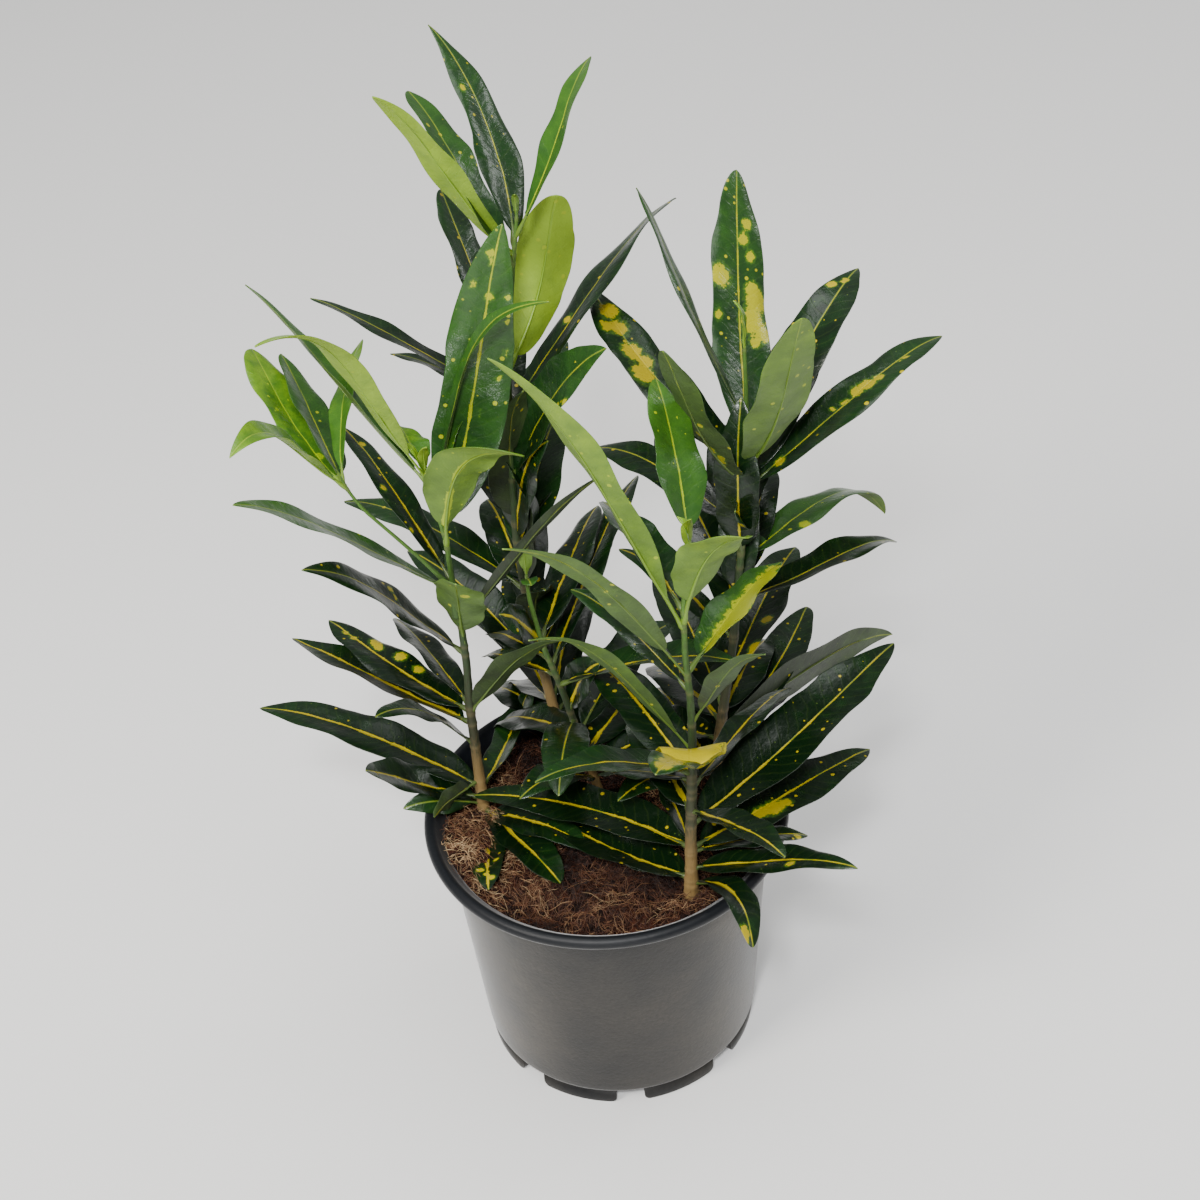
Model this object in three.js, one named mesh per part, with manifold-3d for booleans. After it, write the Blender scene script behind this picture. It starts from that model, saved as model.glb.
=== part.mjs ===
// A potted croton: a round nursery pot, its root ball and five leafy cuttings.
// Millimetres, +Z up. Heights are above the table that the pot stands on.

import * as THREE from 'three';
import { mergeVertices } from 'three/addons/utils/BufferGeometryUtils.js';
import Module from 'manifold-3d';

const wasm = await Module();
wasm.setup();

// ---------------------------------------------------------------- driving dimensions

const POT_HEIGHT = 104;
const RIM_RADIUS = 65;
const RIM_THICKNESS = 4;
const NECK_RADIUS = 57.5;
const NECK_HEIGHT = 93;
const BASE_RADIUS = 51;
const BASE_EDGE_ROUND = 3;
const WALL = 1.6;
const FLOOR = 2;

const FOOT_HEIGHT = 6;
const FOOT_RADIUS = 50;
const FOOT_WALL = 2.6;
const FOOT_COUNT = 8;
const FOOT_ARC = 33;
const FIRST_FOOT_TURN = -112;
const DRAIN_COUNT = 8;
const DRAIN_RADIUS = 4;
const DRAIN_CIRCLE = 33;

const CLEARANCE = 0.3;
const SOIL_LEVEL = 94.5;
const SOIL_SWELL = 0.7;
const SOIL_EDGE_HEIGHT = 91;
const STEM_DEPTH = 34;

const LEAF_THICKNESS = 0.8;
const LEAF_EDGE_HALF_WIDTH = 0.7;
const PETIOLE_LENGTH = 9;
const PETIOLE_RADIUS = 0.9;
const PETIOLE_THICKNESS = 1.44;
const LONGEST_PETIOLE_SHARE = 0.2;
const FOLD = 0.2;
const WAVE = 0.07;
const WAVES_PER_LEAF = 2.4;
const WAVE_STEP_PER_LEAF = 2.4;

// The blade widens as s to the first power and narrows as (1 - s) to the second.
const WIDENING = 0.8;
const NARROWING = 0.66;
// Where along the blade its cross-sections stand, for a long leaf and for a short one.
const LONG_LEAF = 45;
const LONG_STATIONS = [0, 0.22, 0.5, 0.78, 1];
const SHORT_STATIONS = [0, 0.3, 0.7, 1];

const ROUND_SIDES = 36;
const STEM_SIDES = 8;
const SOIL_RINGS = [0.97, 0.8, 0.6, 0.4, 0.2, 0];

// Each stem is a list of [x, y, z, radius], from the soil to its tip.
// Each leaf is [at, turn, rise, long, wide, droop, sway, tilt, twist]:
//   at     height on the stem where the petiole leaves it
//   turn   compass bearing of the leaf, degrees from +X towards +Y
//   rise   degrees that its tip lies above its base
//   long   from stem to tip, wide across the blade
//   droop  how far the middle of the leaf bows up, so that its tip hangs
//   sway   how far the middle bows to the side
//   tilt   degrees that the blade rolls about its own line, twist adds roll towards the tip

const FRONT_LEFT = {
  name: 'stem_front_left',
  stem: [
    [-44, 9, 90, 2.4], [-44, 9, 122, 2.3], [-44, 8, 148, 2.1],
    [-43, 7, 171, 1.9], [-43, 6, 186, 1.8], [-44, 4, 213, 1.5],
    [-44, 3, 226, 1.3], [-46, 3, 240, 1.1], [-48, 4, 254, 0.9],
  ],
  leaves: [
    [250, -135, 55, 96, 16, 5, 2, -19],
    [248, 130, 23, 96, 12, 1, -1, -46],
    [251, 109, 4, 28, 12, 1, 0, -28],
    [229, 38, 70, 104, 19, -6, -12, -1],
    [240, -2, 60, 84, 14, 6, -13, -10],
    [244, 60, 36, 44, 9, 2, 0, 22],
    [223, -27, 54, 54, 19, 9, 1, 52],
    [207, 123, 24, 70, 18, 5, -1, -26],
    [203, -160, 42, 88, 14, -2, 10, -4],
    [178, -86, 70, 40, 18, 2, 0, 27],
    [174, -163, 47, 72, 17, 1, 5, 3],
    [149, 118, 0, 58, 15, 3, 0, -32],
    [147, 135, 3, 72, 18, 0, -2, -15],
    [141, 144, 4, 80, 18, -1, 0, -19],
    [130, -147, 44, 50, 13, 4, 3, -1],
    [109, 152, 5, 92, 20, 3, 2, -9],
    [104, -157, 39, 52, 16, -4, 5, 11],
    [101, -164, 16, 30, 9, 2, 0, 60],
    [113, -140, -8, 22, 11, 1, 0, -80],
    [99, -57, 0, 48, 16, 1, 0, 8],
    [99, -88, 1, 47, 14, 2, 0, -36],
    [187, 48, 8, 82, 14, 4, 6, 36],
    [146, -26, 49, 58, 14, 3, 0, 42],
    [108, 69, 2, 56, 15, -1, 1, 29],
  ],
};

const FRONT_LEFT_BRANCH = {
  stem: [
    [-44, 4, 205, 1.2], [-52, 4, 217, 1.1], [-60, 3, 229, 1.1],
    [-69, 2, 242, 1], [-74, 2, 253, 0.9],
  ],
  leaves: [
    [251, 118, 14, 68, 18, -3, -2, -32],
    [252, 110, 11, 64, 15, -4, 1, -42],
    [250, -128, 42, 60, 11, 5, 5, 16],
    [252, 83, 18, 58, 11, 1, -3, 43],
  ],
};

const FRONT_RIGHT = {
  name: 'stem_front_right',
  stem: [
    [27, -37, 90, 2.7], [28, -38, 127, 2.5], [29, -38, 146, 2.3],
    [30, -38, 168, 2], [30, -38, 186, 1.8], [29, -38, 203, 1.6],
    [29, -38, 219, 1.4], [30, -37, 234, 1.2], [32, -36, 246, 1],
  ],
  leaves: [
    [245, 96, 30, 58, 18, 2, 1, -32],
    [217, -37, 61, 50, 19, 5, -1, 36],
    [215, 169, 62, 112, 18, 3, 0, -52],
    [222, 115, 10, 53, 18, 3, 0, -29],
    [195, -168, 49, 96, 17, 5, 0, -57],
    [163, -164, 52, 82, 17, 3, 8, -47],
    [197, 46, 15, 51, 19, 2, 0, 21],
    [175, -18, 54, 42, 14, 2, 0, 52],
    [146, 51, -1, 60, 15, 3, 0, 29],
    [129, 38, 12, 100, 24, 1, 3, 3],
    [118, 33, -2, 80, 20, 3, 3, 2],
    [116, 12, -8, 42, 13, 2, 0, 12],
    [136, -54, 16, 48, 15, 2, 0, 16],
    [108, -28, 21, 64, 14, 1, -1, 4],
    [100, -59, -2, 35, 13, 8, -4, 17],
    [118, 103, 0, 40, 11, 2, 0, -31],
    [143, 107, -7, 50, 13, 2, 0, -34],
    [158, -112, 38, 44, 15, 2, 0, 7],
    [150, 135, -29, 50, 13, 2, 0, -17],
    [118, 151, -5, 85, 19, 0, 6, 1],
    [103, 140, -3, 74, 17, 1, -4, -10],
    [103, 139, -4, 48, 17, 0, -1, -5],
    [153, -156, 23, 60, 16, 5, 0, -10],
    [189, 144, 30, 50, 13, 3, 0, -9],
  ],
};

const BACK_LEFT = {
  name: 'stem_back_left',
  stem: [
    [-12, 34, 90, 2.4], [-20, 36, 150, 2.2], [-23, 36, 195, 2], [-22, 36, 236, 1.7],
    [-19, 38, 274, 1.4], [-14, 38, 310, 1.1], [-12, 38, 322, 0.9],
  ],
  leaves: [
    [311, 111, 39, 78, 17, -1, 6, -28],
    [314, 52, 42, 61, 12, 11, 9, 28],
    [266, 31, 67, 60, 20, -9, -6, 105],
    [308, -165, 59, 72, 13, -1, 2, -45],
    [305, 128, 43, 63, 15, 11, -6, -25],
    [273, 112, 36, 60, 16, 4, -2, -32],
    [256, 156, 21, 73, 12, 5, -6, -19],
    [253, 156, 17, 43, 11, 2, 0, -20],
    [250, 49, 20, 100, 17, 13, 7, 16, 30],
    [224, -17, 57, 66, 20, 3, 0, -36],
    [198, -34, 70, 50, 17, 3, 0, -69],
    [194, 68, 11, 46, 14, 2, 0, 33],
    [236, 101, 4, 44, 15, 2, 0, -37],
    [176, 150, 14, 74, 17, 6, 0, -10],
    [160, 92, 12, 78, 18, 7, 0, 0],
    [138, 128, 8, 80, 18, 6, 0, 0],
    [122, 78, 6, 76, 18, 5, 0, 0],
    [242, 96, 28, 72, 17, 5, 2, -8],
    [206, 72, 21, 76, 18, 6, -3, 9],
    [110, 48, 2, 72, 18, 5, 0, 6],
    [122, 120, 4, 74, 17, 6, 3, -9],
    [146, 60, 9, 60, 15, 4, 0, 11],
  ],
};

const BACK_RIGHT = {
  name: 'stem_back_right',
  stem: [
    [38, 6, 90, 2.4], [42, 6, 130, 2.3], [48, 8, 170, 2.1], [52, 12, 209, 1.8],
    [55, 16, 243, 1.4], [55, 18, 268, 1.1], [55, 19, 280, 0.9],
  ],
  leaves: [
    [261, 86, 33, 82, 20, -5, -1, -32],
    [243, 47, 31, 71, 19, 13, 7, 4],
    [237, 18, 68, 54, 18, -6, -3, 92],
    [228, 32, 16, 87, 17, 10, 8, 6],
    [252, 112, 33, 90, 12, 6, -4, -53],
    [237, 126, 23, 84, 19, 2, -6, -6],
    [231, 162, 60, 56, 18, -8, 11, -75],
    [207, 103, 18, 41, 15, 2, 0, -24],
    [213, 146, 13, 60, 17, 10, -4, -3],
    [199, 38, -13, 72, 14, 7, -3, 0, 30],
    [185, 31, -7, 70, 15, 4, 4, 10],
    [153, 63, 6, 68, 19, 3, 0, 5],
    [128, 57, 5, 70, 18, 0, 4, 7],
    [131, 37, -5, 86, 17, 4, 0, 86],
    [172, 88, 12, 76, 18, 6, 0, 0],
    [140, 105, 8, 70, 18, 5, 0, 0],
    [110, 84, 2, 74, 18, 6, 2, 0],
    [188, 108, 18, 72, 17, 5, -2, -10],
    [230, 60, 26, 74, 18, 6, 3, 7],
    [170, 144, 26, 50, 13, 3, 0, -12],
  ],
};

const BACK_MIDDLE = {
  name: 'stem_back_middle',
  stem: [
    [0, 12, 90, 2], [-6, 12, 120, 1.9], [-12, 11, 152, 1.7], [-17, 13, 170, 1.5],
    [-20, 15, 190, 1.2], [-20, 15, 200, 0.9],
  ],
  leaves: [
    [172, 70, 6, 68, 17, 3, 0, 25],
    [161, 66, 12, 90, 15, 4, 0, 31],
    [170, -143, 55, 28, 14, 1, 0, 41],
    [164, 125, -19, 40, 13, 2, 0, -13],
    [157, 131, -20, 42, 13, 2, 0, -11],
    [140, -28, 63, 30, 14, 2, 0, -54],
    [128, 60, 4, 62, 17, 4, 0, 0],
    [112, 20, 2, 40, 15, 3, 0, 0],
    [135, -96, 19, 60, 16, 5, 0, 8],
    [153, -24, 23, 70, 17, 5, 2, 10],
  ],
};

// ---------------------------------------------------------------- solids

function toSolid(geometry) {
  const bare = geometry.index ? geometry.clone() : geometry;
  bare.deleteAttribute('normal');
  bare.deleteAttribute('uv');
  const merged = mergeVertices(bare, 1e-4);
  const corners = merged.index.array;
  const kept = [];
  for (let i = 0; i < corners.length; i += 3) {
    const [a, b, c] = [corners[i], corners[i + 1], corners[i + 2]];
    if (a !== b && b !== c && c !== a) kept.push(a, b, c);
  }
  return new wasm.Manifold(new wasm.Mesh({
    numProp: 3,
    vertProperties: new Float32Array(merged.attributes.position.array),
    triVerts: new Uint32Array(kept),
  }));
}

function toGeometry(solid) {
  const mesh = solid.getMesh();
  const geometry = new THREE.BufferGeometry();
  geometry.setAttribute('position', new THREE.BufferAttribute(mesh.vertProperties, 3));
  geometry.setIndex(new THREE.BufferAttribute(mesh.triVerts, 1));
  geometry.computeVertexNormals();
  return geometry;
}

// A profile of [radius, height] pairs, turned about +Z, starting and ending on the axis.
function turned(profile) {
  const points = profile.map(([radius, height]) => new THREE.Vector2(radius, height));
  return new THREE.LatheGeometry(points, ROUND_SIDES).rotateX(Math.PI / 2);
}

// Rings of points joined along their length and capped at both ends. Rings turn
// anticlockwise seen from the far end. flipped says which quads take the other diagonal.
function lofted(rings, flipped = () => false) {
  const sides = rings[0].length;
  const positions = rings.flat().flatMap((point) => [point.x, point.y, point.z]);
  const index = [];
  for (let i = 0; i + 1 < rings.length; i += 1) {
    for (let j = 0; j < sides; j += 1) {
      const a = i * sides + j;
      const b = i * sides + ((j + 1) % sides);
      const c = b + sides;
      const d = a + sides;
      if (flipped(j)) index.push(a, b, d, b, c, d);
      else index.push(a, b, c, a, c, d);
    }
  }
  const last = (rings.length - 1) * sides;
  for (let j = 1; j + 1 < sides; j += 1) {
    index.push(0, j + 1, j);
    index.push(last, last + j, last + j + 1);
  }
  const geometry = new THREE.BufferGeometry();
  geometry.setAttribute('position', new THREE.Float32BufferAttribute(positions, 3));
  geometry.setIndex(index);
  return geometry;
}

const radians = THREE.MathUtils.degToRad;

// ---------------------------------------------------------------- pot

const innerRadiusAt = (height) => {
  const share = (height - FOOT_HEIGHT) / (NECK_HEIGHT - FOOT_HEIGHT);
  return BASE_RADIUS + (NECK_RADIUS - BASE_RADIUS) * share - WALL;
};

function potShell() {
  const lip = RIM_THICKNESS / 2;
  const flare = POT_HEIGHT - RIM_THICKNESS;
  const outside = [
    [0, FOOT_HEIGHT],
    [BASE_RADIUS - BASE_EDGE_ROUND, FOOT_HEIGHT],
    [BASE_RADIUS - BASE_EDGE_ROUND * 0.3, FOOT_HEIGHT + BASE_EDGE_ROUND * 0.3],
    [BASE_RADIUS, FOOT_HEIGHT + BASE_EDGE_ROUND],
    [NECK_RADIUS, NECK_HEIGHT],
    [RIM_RADIUS - lip, flare - 1],
    [RIM_RADIUS, flare + lip * 0.6],
    [RIM_RADIUS - lip * 0.3, POT_HEIGHT - lip * 0.3],
    [RIM_RADIUS - lip, POT_HEIGHT],
  ];
  const inside = [
    [RIM_RADIUS - lip * 1.6, POT_HEIGHT - lip * 0.3],
    [innerRadiusAt(NECK_HEIGHT) + 1, flare - 2],
    [innerRadiusAt(NECK_HEIGHT), NECK_HEIGHT - 1],
    [innerRadiusAt(FOOT_HEIGHT + FLOOR), FOOT_HEIGHT + FLOOR],
    [0, FOOT_HEIGHT + FLOOR],
  ];
  return toSolid(turned([...outside, ...inside]));
}

function foot(turn) {
  const half = radians(FOOT_ARC / 2);
  const arc = new THREE.Shape();
  arc.absarc(0, 0, FOOT_RADIUS, turn - half, turn + half, false);
  arc.absarc(0, 0, FOOT_RADIUS - FOOT_WALL, turn + half, turn - half, true);
  const depth = FOOT_HEIGHT + FLOOR / 2;
  return toSolid(new THREE.ExtrudeGeometry(arc, { depth, bevelEnabled: false, curveSegments: 4 }));
}

function drain(turn) {
  const hole = new THREE.CylinderGeometry(DRAIN_RADIUS, DRAIN_RADIUS, FLOOR * 3, 8).rotateX(Math.PI / 2);
  hole.translate(DRAIN_CIRCLE * Math.cos(turn), DRAIN_CIRCLE * Math.sin(turn), FOOT_HEIGHT + FLOOR / 2);
  return toSolid(hole);
}

function pot() {
  let solid = potShell();
  for (let k = 0; k < FOOT_COUNT; k += 1) {
    solid = solid.add(foot(radians(FIRST_FOOT_TURN + (k * 360) / FOOT_COUNT)));
  }
  for (let k = 0; k < DRAIN_COUNT; k += 1) {
    solid = solid.subtract(drain((k * 2 * Math.PI) / DRAIN_COUNT));
  }
  return solid;
}

// ---------------------------------------------------------------- stems and leaves

// A point of a stem's table as a vector.
const toVector = ([x, y, z]) => new THREE.Vector3(x, y, z);

// Octagonal cross-sections along a stem. A rooted stem starts STEM_DEPTH below its first point.
function stemRings(points, { rooted = true, extra = 0 } = {}) {
  const path = points.map(toVector);
  const radii = points.map((point) => point[3] + extra);
  if (rooted) {
    path.unshift(path[0].clone().setZ(path[0].z - STEM_DEPTH));
    radii.unshift(radii[0]);
  }
  return path.map((centre, i) => {
    const before = path[Math.max(i - 1, 0)];
    const after = path[Math.min(i + 1, path.length - 1)];
    const along = after.clone().sub(before).normalize();
    const side = new THREE.Vector3(1, 0, 0).cross(along).normalize();
    const front = along.clone().cross(side);
    return Array.from({ length: STEM_SIDES }, (_, k) => {
      const angle = (k * 2 * Math.PI) / STEM_SIDES;
      return centre.clone()
        .addScaledVector(front, radii[i] * Math.cos(angle))
        .addScaledVector(side, -radii[i] * Math.sin(angle));
    });
  });
}

// The point of a stem's middle line at a height.
function pointAt(points, height) {
  const last = points.length - 1;
  const found = points.findIndex((point, i) => i > 0 && height <= point[2]);
  const i = found < 0 ? last : found;
  const share = (height - points[i - 1][2]) / (points[i][2] - points[i - 1][2]);
  return toVector(points[i - 1]).lerp(toVector(points[i]), share);
}

// Width of the blade at s, from 0 at its foot to 1 at its tip, as a share of the widest.
function bladeShape(s) {
  const widestAt = WIDENING / (WIDENING + NARROWING);
  const widest = widestAt ** WIDENING * (1 - widestAt) ** NARROWING;
  return (s ** WIDENING * (1 - s) ** NARROWING) / widest;
}

function leafSolid(points, leaf, phase) {
  const [at, turn, rise, long, wide, droop, sway, tilt, twist = 0] = leaf;
  const base = pointAt(points, at);
  const bearing = radians(turn);
  const climb = radians(rise);
  const flat = Math.cos(climb);
  const line = new THREE.Vector3(flat * Math.cos(bearing), flat * Math.sin(bearing), Math.sin(climb));
  const level = new THREE.Vector3(Math.sin(bearing), -Math.cos(bearing), 0);
  const upright = level.clone().cross(line);
  const petiole = Math.min(PETIOLE_LENGTH / long, LONGEST_PETIOLE_SHARE);

  // The six corners of one cross-section: its edges are lifted by edgeLift, left and right.
  const section = (t, half, thick, edgeLift) => {
    const bow = 4 * t * (1 - t);
    const slope = 4 * (1 - 2 * t);
    const centre = base.clone()
      .addScaledVector(line, long * t)
      .addScaledVector(upright, droop * bow)
      .addScaledVector(level, sway * bow);
    const along = line.clone().multiplyScalar(long)
      .addScaledVector(upright, droop * slope)
      .addScaledVector(level, sway * slope)
      .normalize();
    const roll = radians(tilt + twist * t);
    const side = level.clone().multiplyScalar(Math.cos(roll)).addScaledVector(upright, Math.sin(roll));
    side.addScaledVector(along, -side.dot(along)).normalize();
    const up = side.clone().cross(along);
    const corner = (across, lift) => centre.clone().addScaledVector(side, across).addScaledVector(up, lift);
    const [left, right] = edgeLift;
    return [
      corner(-half, left + thick / 2), corner(0, thick / 2), corner(half, right + thick / 2),
      corner(half, right - thick / 2), corner(0, -thick / 2), corner(-half, left - thick / 2),
    ];
  };

  const sections = [section(0, PETIOLE_RADIUS, PETIOLE_THICKNESS, [0, 0])];
  for (const s of long > LONG_LEAF ? LONG_STATIONS : SHORT_STATIONS) {
    const narrowest = s === 0 ? PETIOLE_RADIUS : LEAF_EDGE_HALF_WIDTH;
    const half = Math.max((wide / 2) * bladeShape(s), narrowest);
    const wave = wide * WAVE * Math.sin(2 * Math.PI * WAVES_PER_LEAF * s + phase) * 4 * s * (1 - s);
    const thick = s === 0 ? PETIOLE_THICKNESS : LEAF_THICKNESS;
    const lifts = [half * FOLD + wave, half * FOLD - wave];
    sections.push(section(petiole + (1 - petiole) * s, half, thick, lifts));
  }
  return toSolid(lofted(sections, (j) => j === 3 || j === 4));
}

function leafyStem({ stem, leaves }, rooted = true) {
  let solid = toSolid(lofted(stemRings(stem, { rooted })));
  leaves.forEach((leaf, k) => {
    solid = solid.add(leafSolid(stem, leaf, k * WAVE_STEP_PER_LEAF));
  });
  return solid;
}

// ---------------------------------------------------------------- root ball

const CUTTINGS = [FRONT_LEFT, FRONT_RIGHT, BACK_LEFT, BACK_RIGHT, BACK_MIDDLE];

function rootBall() {
  const floor = FOOT_HEIGHT + FLOOR + CLEARANCE;
  const edge = (height) => innerRadiusAt(height) - CLEARANCE;
  const geometry = turned([
    [0, floor],
    [edge(floor), floor],
    [edge(SOIL_EDGE_HEIGHT), SOIL_EDGE_HEIGHT],
    ...SOIL_RINGS.map((share) => [edge(SOIL_EDGE_HEIGHT) * share, SOIL_LEVEL]),
  ]);
  const position = geometry.attributes.position;
  for (let i = 0; i < position.count; i += 1) {
    const [x, y, z] = [position.getX(i), position.getY(i), position.getZ(i)];
    if (z > SOIL_EDGE_HEIGHT + 1) position.setZ(i, z + SOIL_SWELL * Math.sin(x / 9) * Math.cos(y / 8));
  }
  let solid = toSolid(geometry);
  for (const cutting of CUTTINGS) {
    const hole = stemRings(cutting.stem.slice(0, 2), { extra: CLEARANCE });
    for (const point of hole[0]) point.z -= CLEARANCE;
    solid = solid.subtract(toSolid(lofted(hole)));
  }
  return solid;
}

// ---------------------------------------------------------------- assembly

function piece(name, solid, color, roughness) {
  const material = new THREE.MeshStandardMaterial({ color, roughness, metalness: 0 });
  const mesh = new THREE.Mesh(toGeometry(solid), material);
  mesh.name = name;
  return mesh;
}

const plant = new THREE.Group();
plant.add(piece('pot', pot(), 0x55544f, 0.45));
plant.add(piece('soil', rootBall(), 0x4d3424, 0.95));
for (const cutting of CUTTINGS) {
  let solid = leafyStem(cutting);
  if (cutting === FRONT_LEFT) solid = solid.add(leafyStem(FRONT_LEFT_BRANCH, false));
  plant.add(piece(cutting.name, solid, 0x2c4a2b, 0.4));
}

// The origin is under the middle of the whole plant, on the table.
const extent = new THREE.Box3().setFromObject(plant);
const middle = extent.getCenter(new THREE.Vector3());
plant.position.set(-middle.x, -middle.y, 0);

const group = new THREE.Group();
group.add(plant);

export default group;
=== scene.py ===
import bpy
import numpy as np
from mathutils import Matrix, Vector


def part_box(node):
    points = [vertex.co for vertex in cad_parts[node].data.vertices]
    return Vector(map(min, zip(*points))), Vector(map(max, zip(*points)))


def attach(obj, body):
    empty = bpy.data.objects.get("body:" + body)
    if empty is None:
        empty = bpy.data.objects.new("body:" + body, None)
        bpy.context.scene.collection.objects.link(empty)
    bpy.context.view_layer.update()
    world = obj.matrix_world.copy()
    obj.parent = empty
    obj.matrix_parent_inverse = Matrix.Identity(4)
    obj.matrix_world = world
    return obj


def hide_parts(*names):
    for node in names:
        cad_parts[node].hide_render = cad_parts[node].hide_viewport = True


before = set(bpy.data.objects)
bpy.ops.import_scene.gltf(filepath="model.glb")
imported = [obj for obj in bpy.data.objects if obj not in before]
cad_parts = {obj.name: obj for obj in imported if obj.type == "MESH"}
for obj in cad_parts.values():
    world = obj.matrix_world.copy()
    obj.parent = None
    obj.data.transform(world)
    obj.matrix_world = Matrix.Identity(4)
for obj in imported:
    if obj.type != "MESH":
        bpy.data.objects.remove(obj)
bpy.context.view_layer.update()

# ---------------------------------------------------------------- the view and the studio
# The plant stands on a plain pale table and is seen from above its front, as one looks down at it. Every
# piece is worked out in millimetres from the middle of the pot's foot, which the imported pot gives.

MM = 0.001
POT_LOW, POT_HIGH = (np.array(corner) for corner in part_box("pot"))
FOOT_OF_POT = (POT_LOW + POT_HIGH) / 2 * (1, 1, 0)

CAMERA_PLACE = np.array([3.8, -557.9, 657.7])
CAMERA_LOOKS_DOWN = np.radians(39.46)
CAMERA_LEANS = np.radians(-4.62)
SENSOR_WIDTH, LENS = 36, 66

camera_data = bpy.data.cameras.new("camera")
camera_data.sensor_width = SENSOR_WIDTH
camera_data.lens = LENS
camera = bpy.data.objects.new("camera", camera_data)
bpy.context.scene.collection.objects.link(camera)
bpy.context.scene.camera = camera
camera.location = CAMERA_PLACE * MM + FOOT_OF_POT
camera.rotation_mode = "ZYX"
camera.rotation_euler = (np.pi / 2 - CAMERA_LOOKS_DOWN, 0, CAMERA_LEANS)


def linear(hex_colour):
    """An sRGB hex colour as linear red, green, blue and alpha: ((c + 0.055) / 1.055) to the power 2.4, or c / 12.92
    for the darkest."""
    c = np.array([int(hex_colour[i : i + 2], 16) for i in (1, 3, 5)]) / 255
    return (*np.where(c > 0.04045, ((c + 0.055) / 1.055) ** 2.4, c / 12.92), 1)


def plug(step, *values, **inputs):
    """Gives sockets of a shader node, in turn or by name or as in6, a value, or an output, or a node whose first output
    in use is meant. An underscore in a name stands for a space."""
    numbered = {f"in{k}": value for k, value in enumerate(values)}
    for name, value in {**numbered, **inputs}.items():
        socket = step.inputs[int(name[2:]) if name[2:].isdigit() else name.replace("_", " ")]
        if isinstance(value, bpy.types.Node):
            value = next(output for output in value.outputs if output.enabled)
        if isinstance(value, bpy.types.NodeSocket):
            step.id_data.links.new(value, socket)
        else:
            socket.default_value = value
    return step


def add(tree, kind, *values, stops=(), **inputs):
    """Adds one shader node. kind is its type, or its type with its settings. stops are a colour ramp's places and
    colours, and the values and inputs are for plug."""
    kind, settings = (kind, {}) if isinstance(kind, str) else kind
    step = tree.nodes.new("ShaderNode" + kind)
    for name, value in settings.items():
        setattr(step, name, value)
    for position, tone in stops:
        step.color_ramp.elements.new(position).color = linear(tone)
    for default in (0, -1) if stops else ():
        step.color_ramp.elements.remove(step.color_ramp.elements[default])
    return plug(step, *values, **inputs)


def start_material(name):
    """A new material, its node tree and its shader."""
    material = bpy.data.materials.new(name)
    material.use_nodes = True
    return material, material.node_tree, material.node_tree.nodes["Principled BSDF"]


def softbox(name, place, aim, size, watts, colour):
    """A square area light at place, turned so that its -Z runs to aim: tilted by the angle from straight down, then
    swung to the bearing."""
    lamp = bpy.data.lights.new(name, "AREA")
    lamp.energy = watts
    lamp.size = size
    lamp.color = linear(colour)[:3]
    box = bpy.data.objects.new(name, lamp)
    ray = np.subtract(aim, place) / np.linalg.norm(np.subtract(aim, place))
    box.location = place
    box.rotation_euler = (np.arccos(-ray[2]), 0, np.arctan2(-ray[0], ray[1]))
    bpy.context.scene.collection.objects.link(box)


# name, place and aim in metres, size in metres, watts and colour
softbox("overhead_softbox", (0.1, 0.25, 1.9), (0, 0, 0), 1.6, 30, "#ffffff")
softbox("left_softbox", (-0.95, -0.75, 1.3), (0, 0, 0.15), 0.5, 25, "#fffaf2")
softbox("flash", (-0.08, -0.72, 0.98), (0, 0, 0.15), 0.12, 13, "#ffffff")
softbox("low_front_lamp", (-0.05, -1.25, 0.34), (0, 0, 0.22), 0.16, 3, "#ffffff")
softbox("right_softbox", (0.95, 0.48, 0.72), (0, 0, 0.2), 0.22, 2, "#ffffff")

studio_air = bpy.data.worlds.new("studio_air")
studio_air.use_nodes = True
plug(studio_air.node_tree.nodes["Background"], Color=linear("#ffffff"), Strength=0.28)
bpy.context.scene.world = studio_air

TABLE_HALF = 4.0
table_mesh = bpy.data.meshes.new("table_top")
corners = [(x * TABLE_HALF, y * TABLE_HALF, 0) for x, y in ((-1, -1), (1, -1), (1, 1), (-1, 1))]
table_mesh.from_pydata(corners, [], [(0, 1, 2, 3)])
table_top = bpy.data.objects.new("table_top", table_mesh)
bpy.context.scene.collection.objects.link(table_top)
white_card, _, shader = start_material("light_table_white_acrylic")
plug(shader, Base_Color=linear("#d2d2d1"), Roughness=0.9, Specular_IOR_Level=0.2, Emission_Color=linear("#ffffff"),
     Emission_Strength=0.15)
table_mesh.materials.append(white_card)

# ---------------------------------------------------------------- the pot
# A round nursery pot of black polypropylene, injection moulded in one shot: a thin tapered wall with a rolled
# lip, a flat floor with drain holes, and a foot ring cut into eight feet so that water can run out.

LIP_CENTRE, LIP_RADIUS = (62.75, 101.75), 2.25
WALL_RADIUS = 57
WALL_TURNS = 220
SECTION_POINTS_OUTSIDE = 72
OVAL_WOBBLE, FIVEFOLD_WOBBLE = 0.15, 0.07
FLOOR_LOW, FLOOR_HIGH = 6.0, 8.0
FLOOR_RADIUS = 48.0
FOOT_OUTSIDE, FOOT_WALL, FOOT_CORNER = 50.0, 2.6, 2.3
FOOT_TURNS = np.radians(-112 + 45.0 * np.arange(8))
FOOT_HALF_ARC = np.radians(16.5)
DRAIN_CIRCLE, DRAIN_RADIUS = 33.0, 4.0
DRAIN_TURNS = np.radians(45.0 * np.arange(8))


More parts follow.
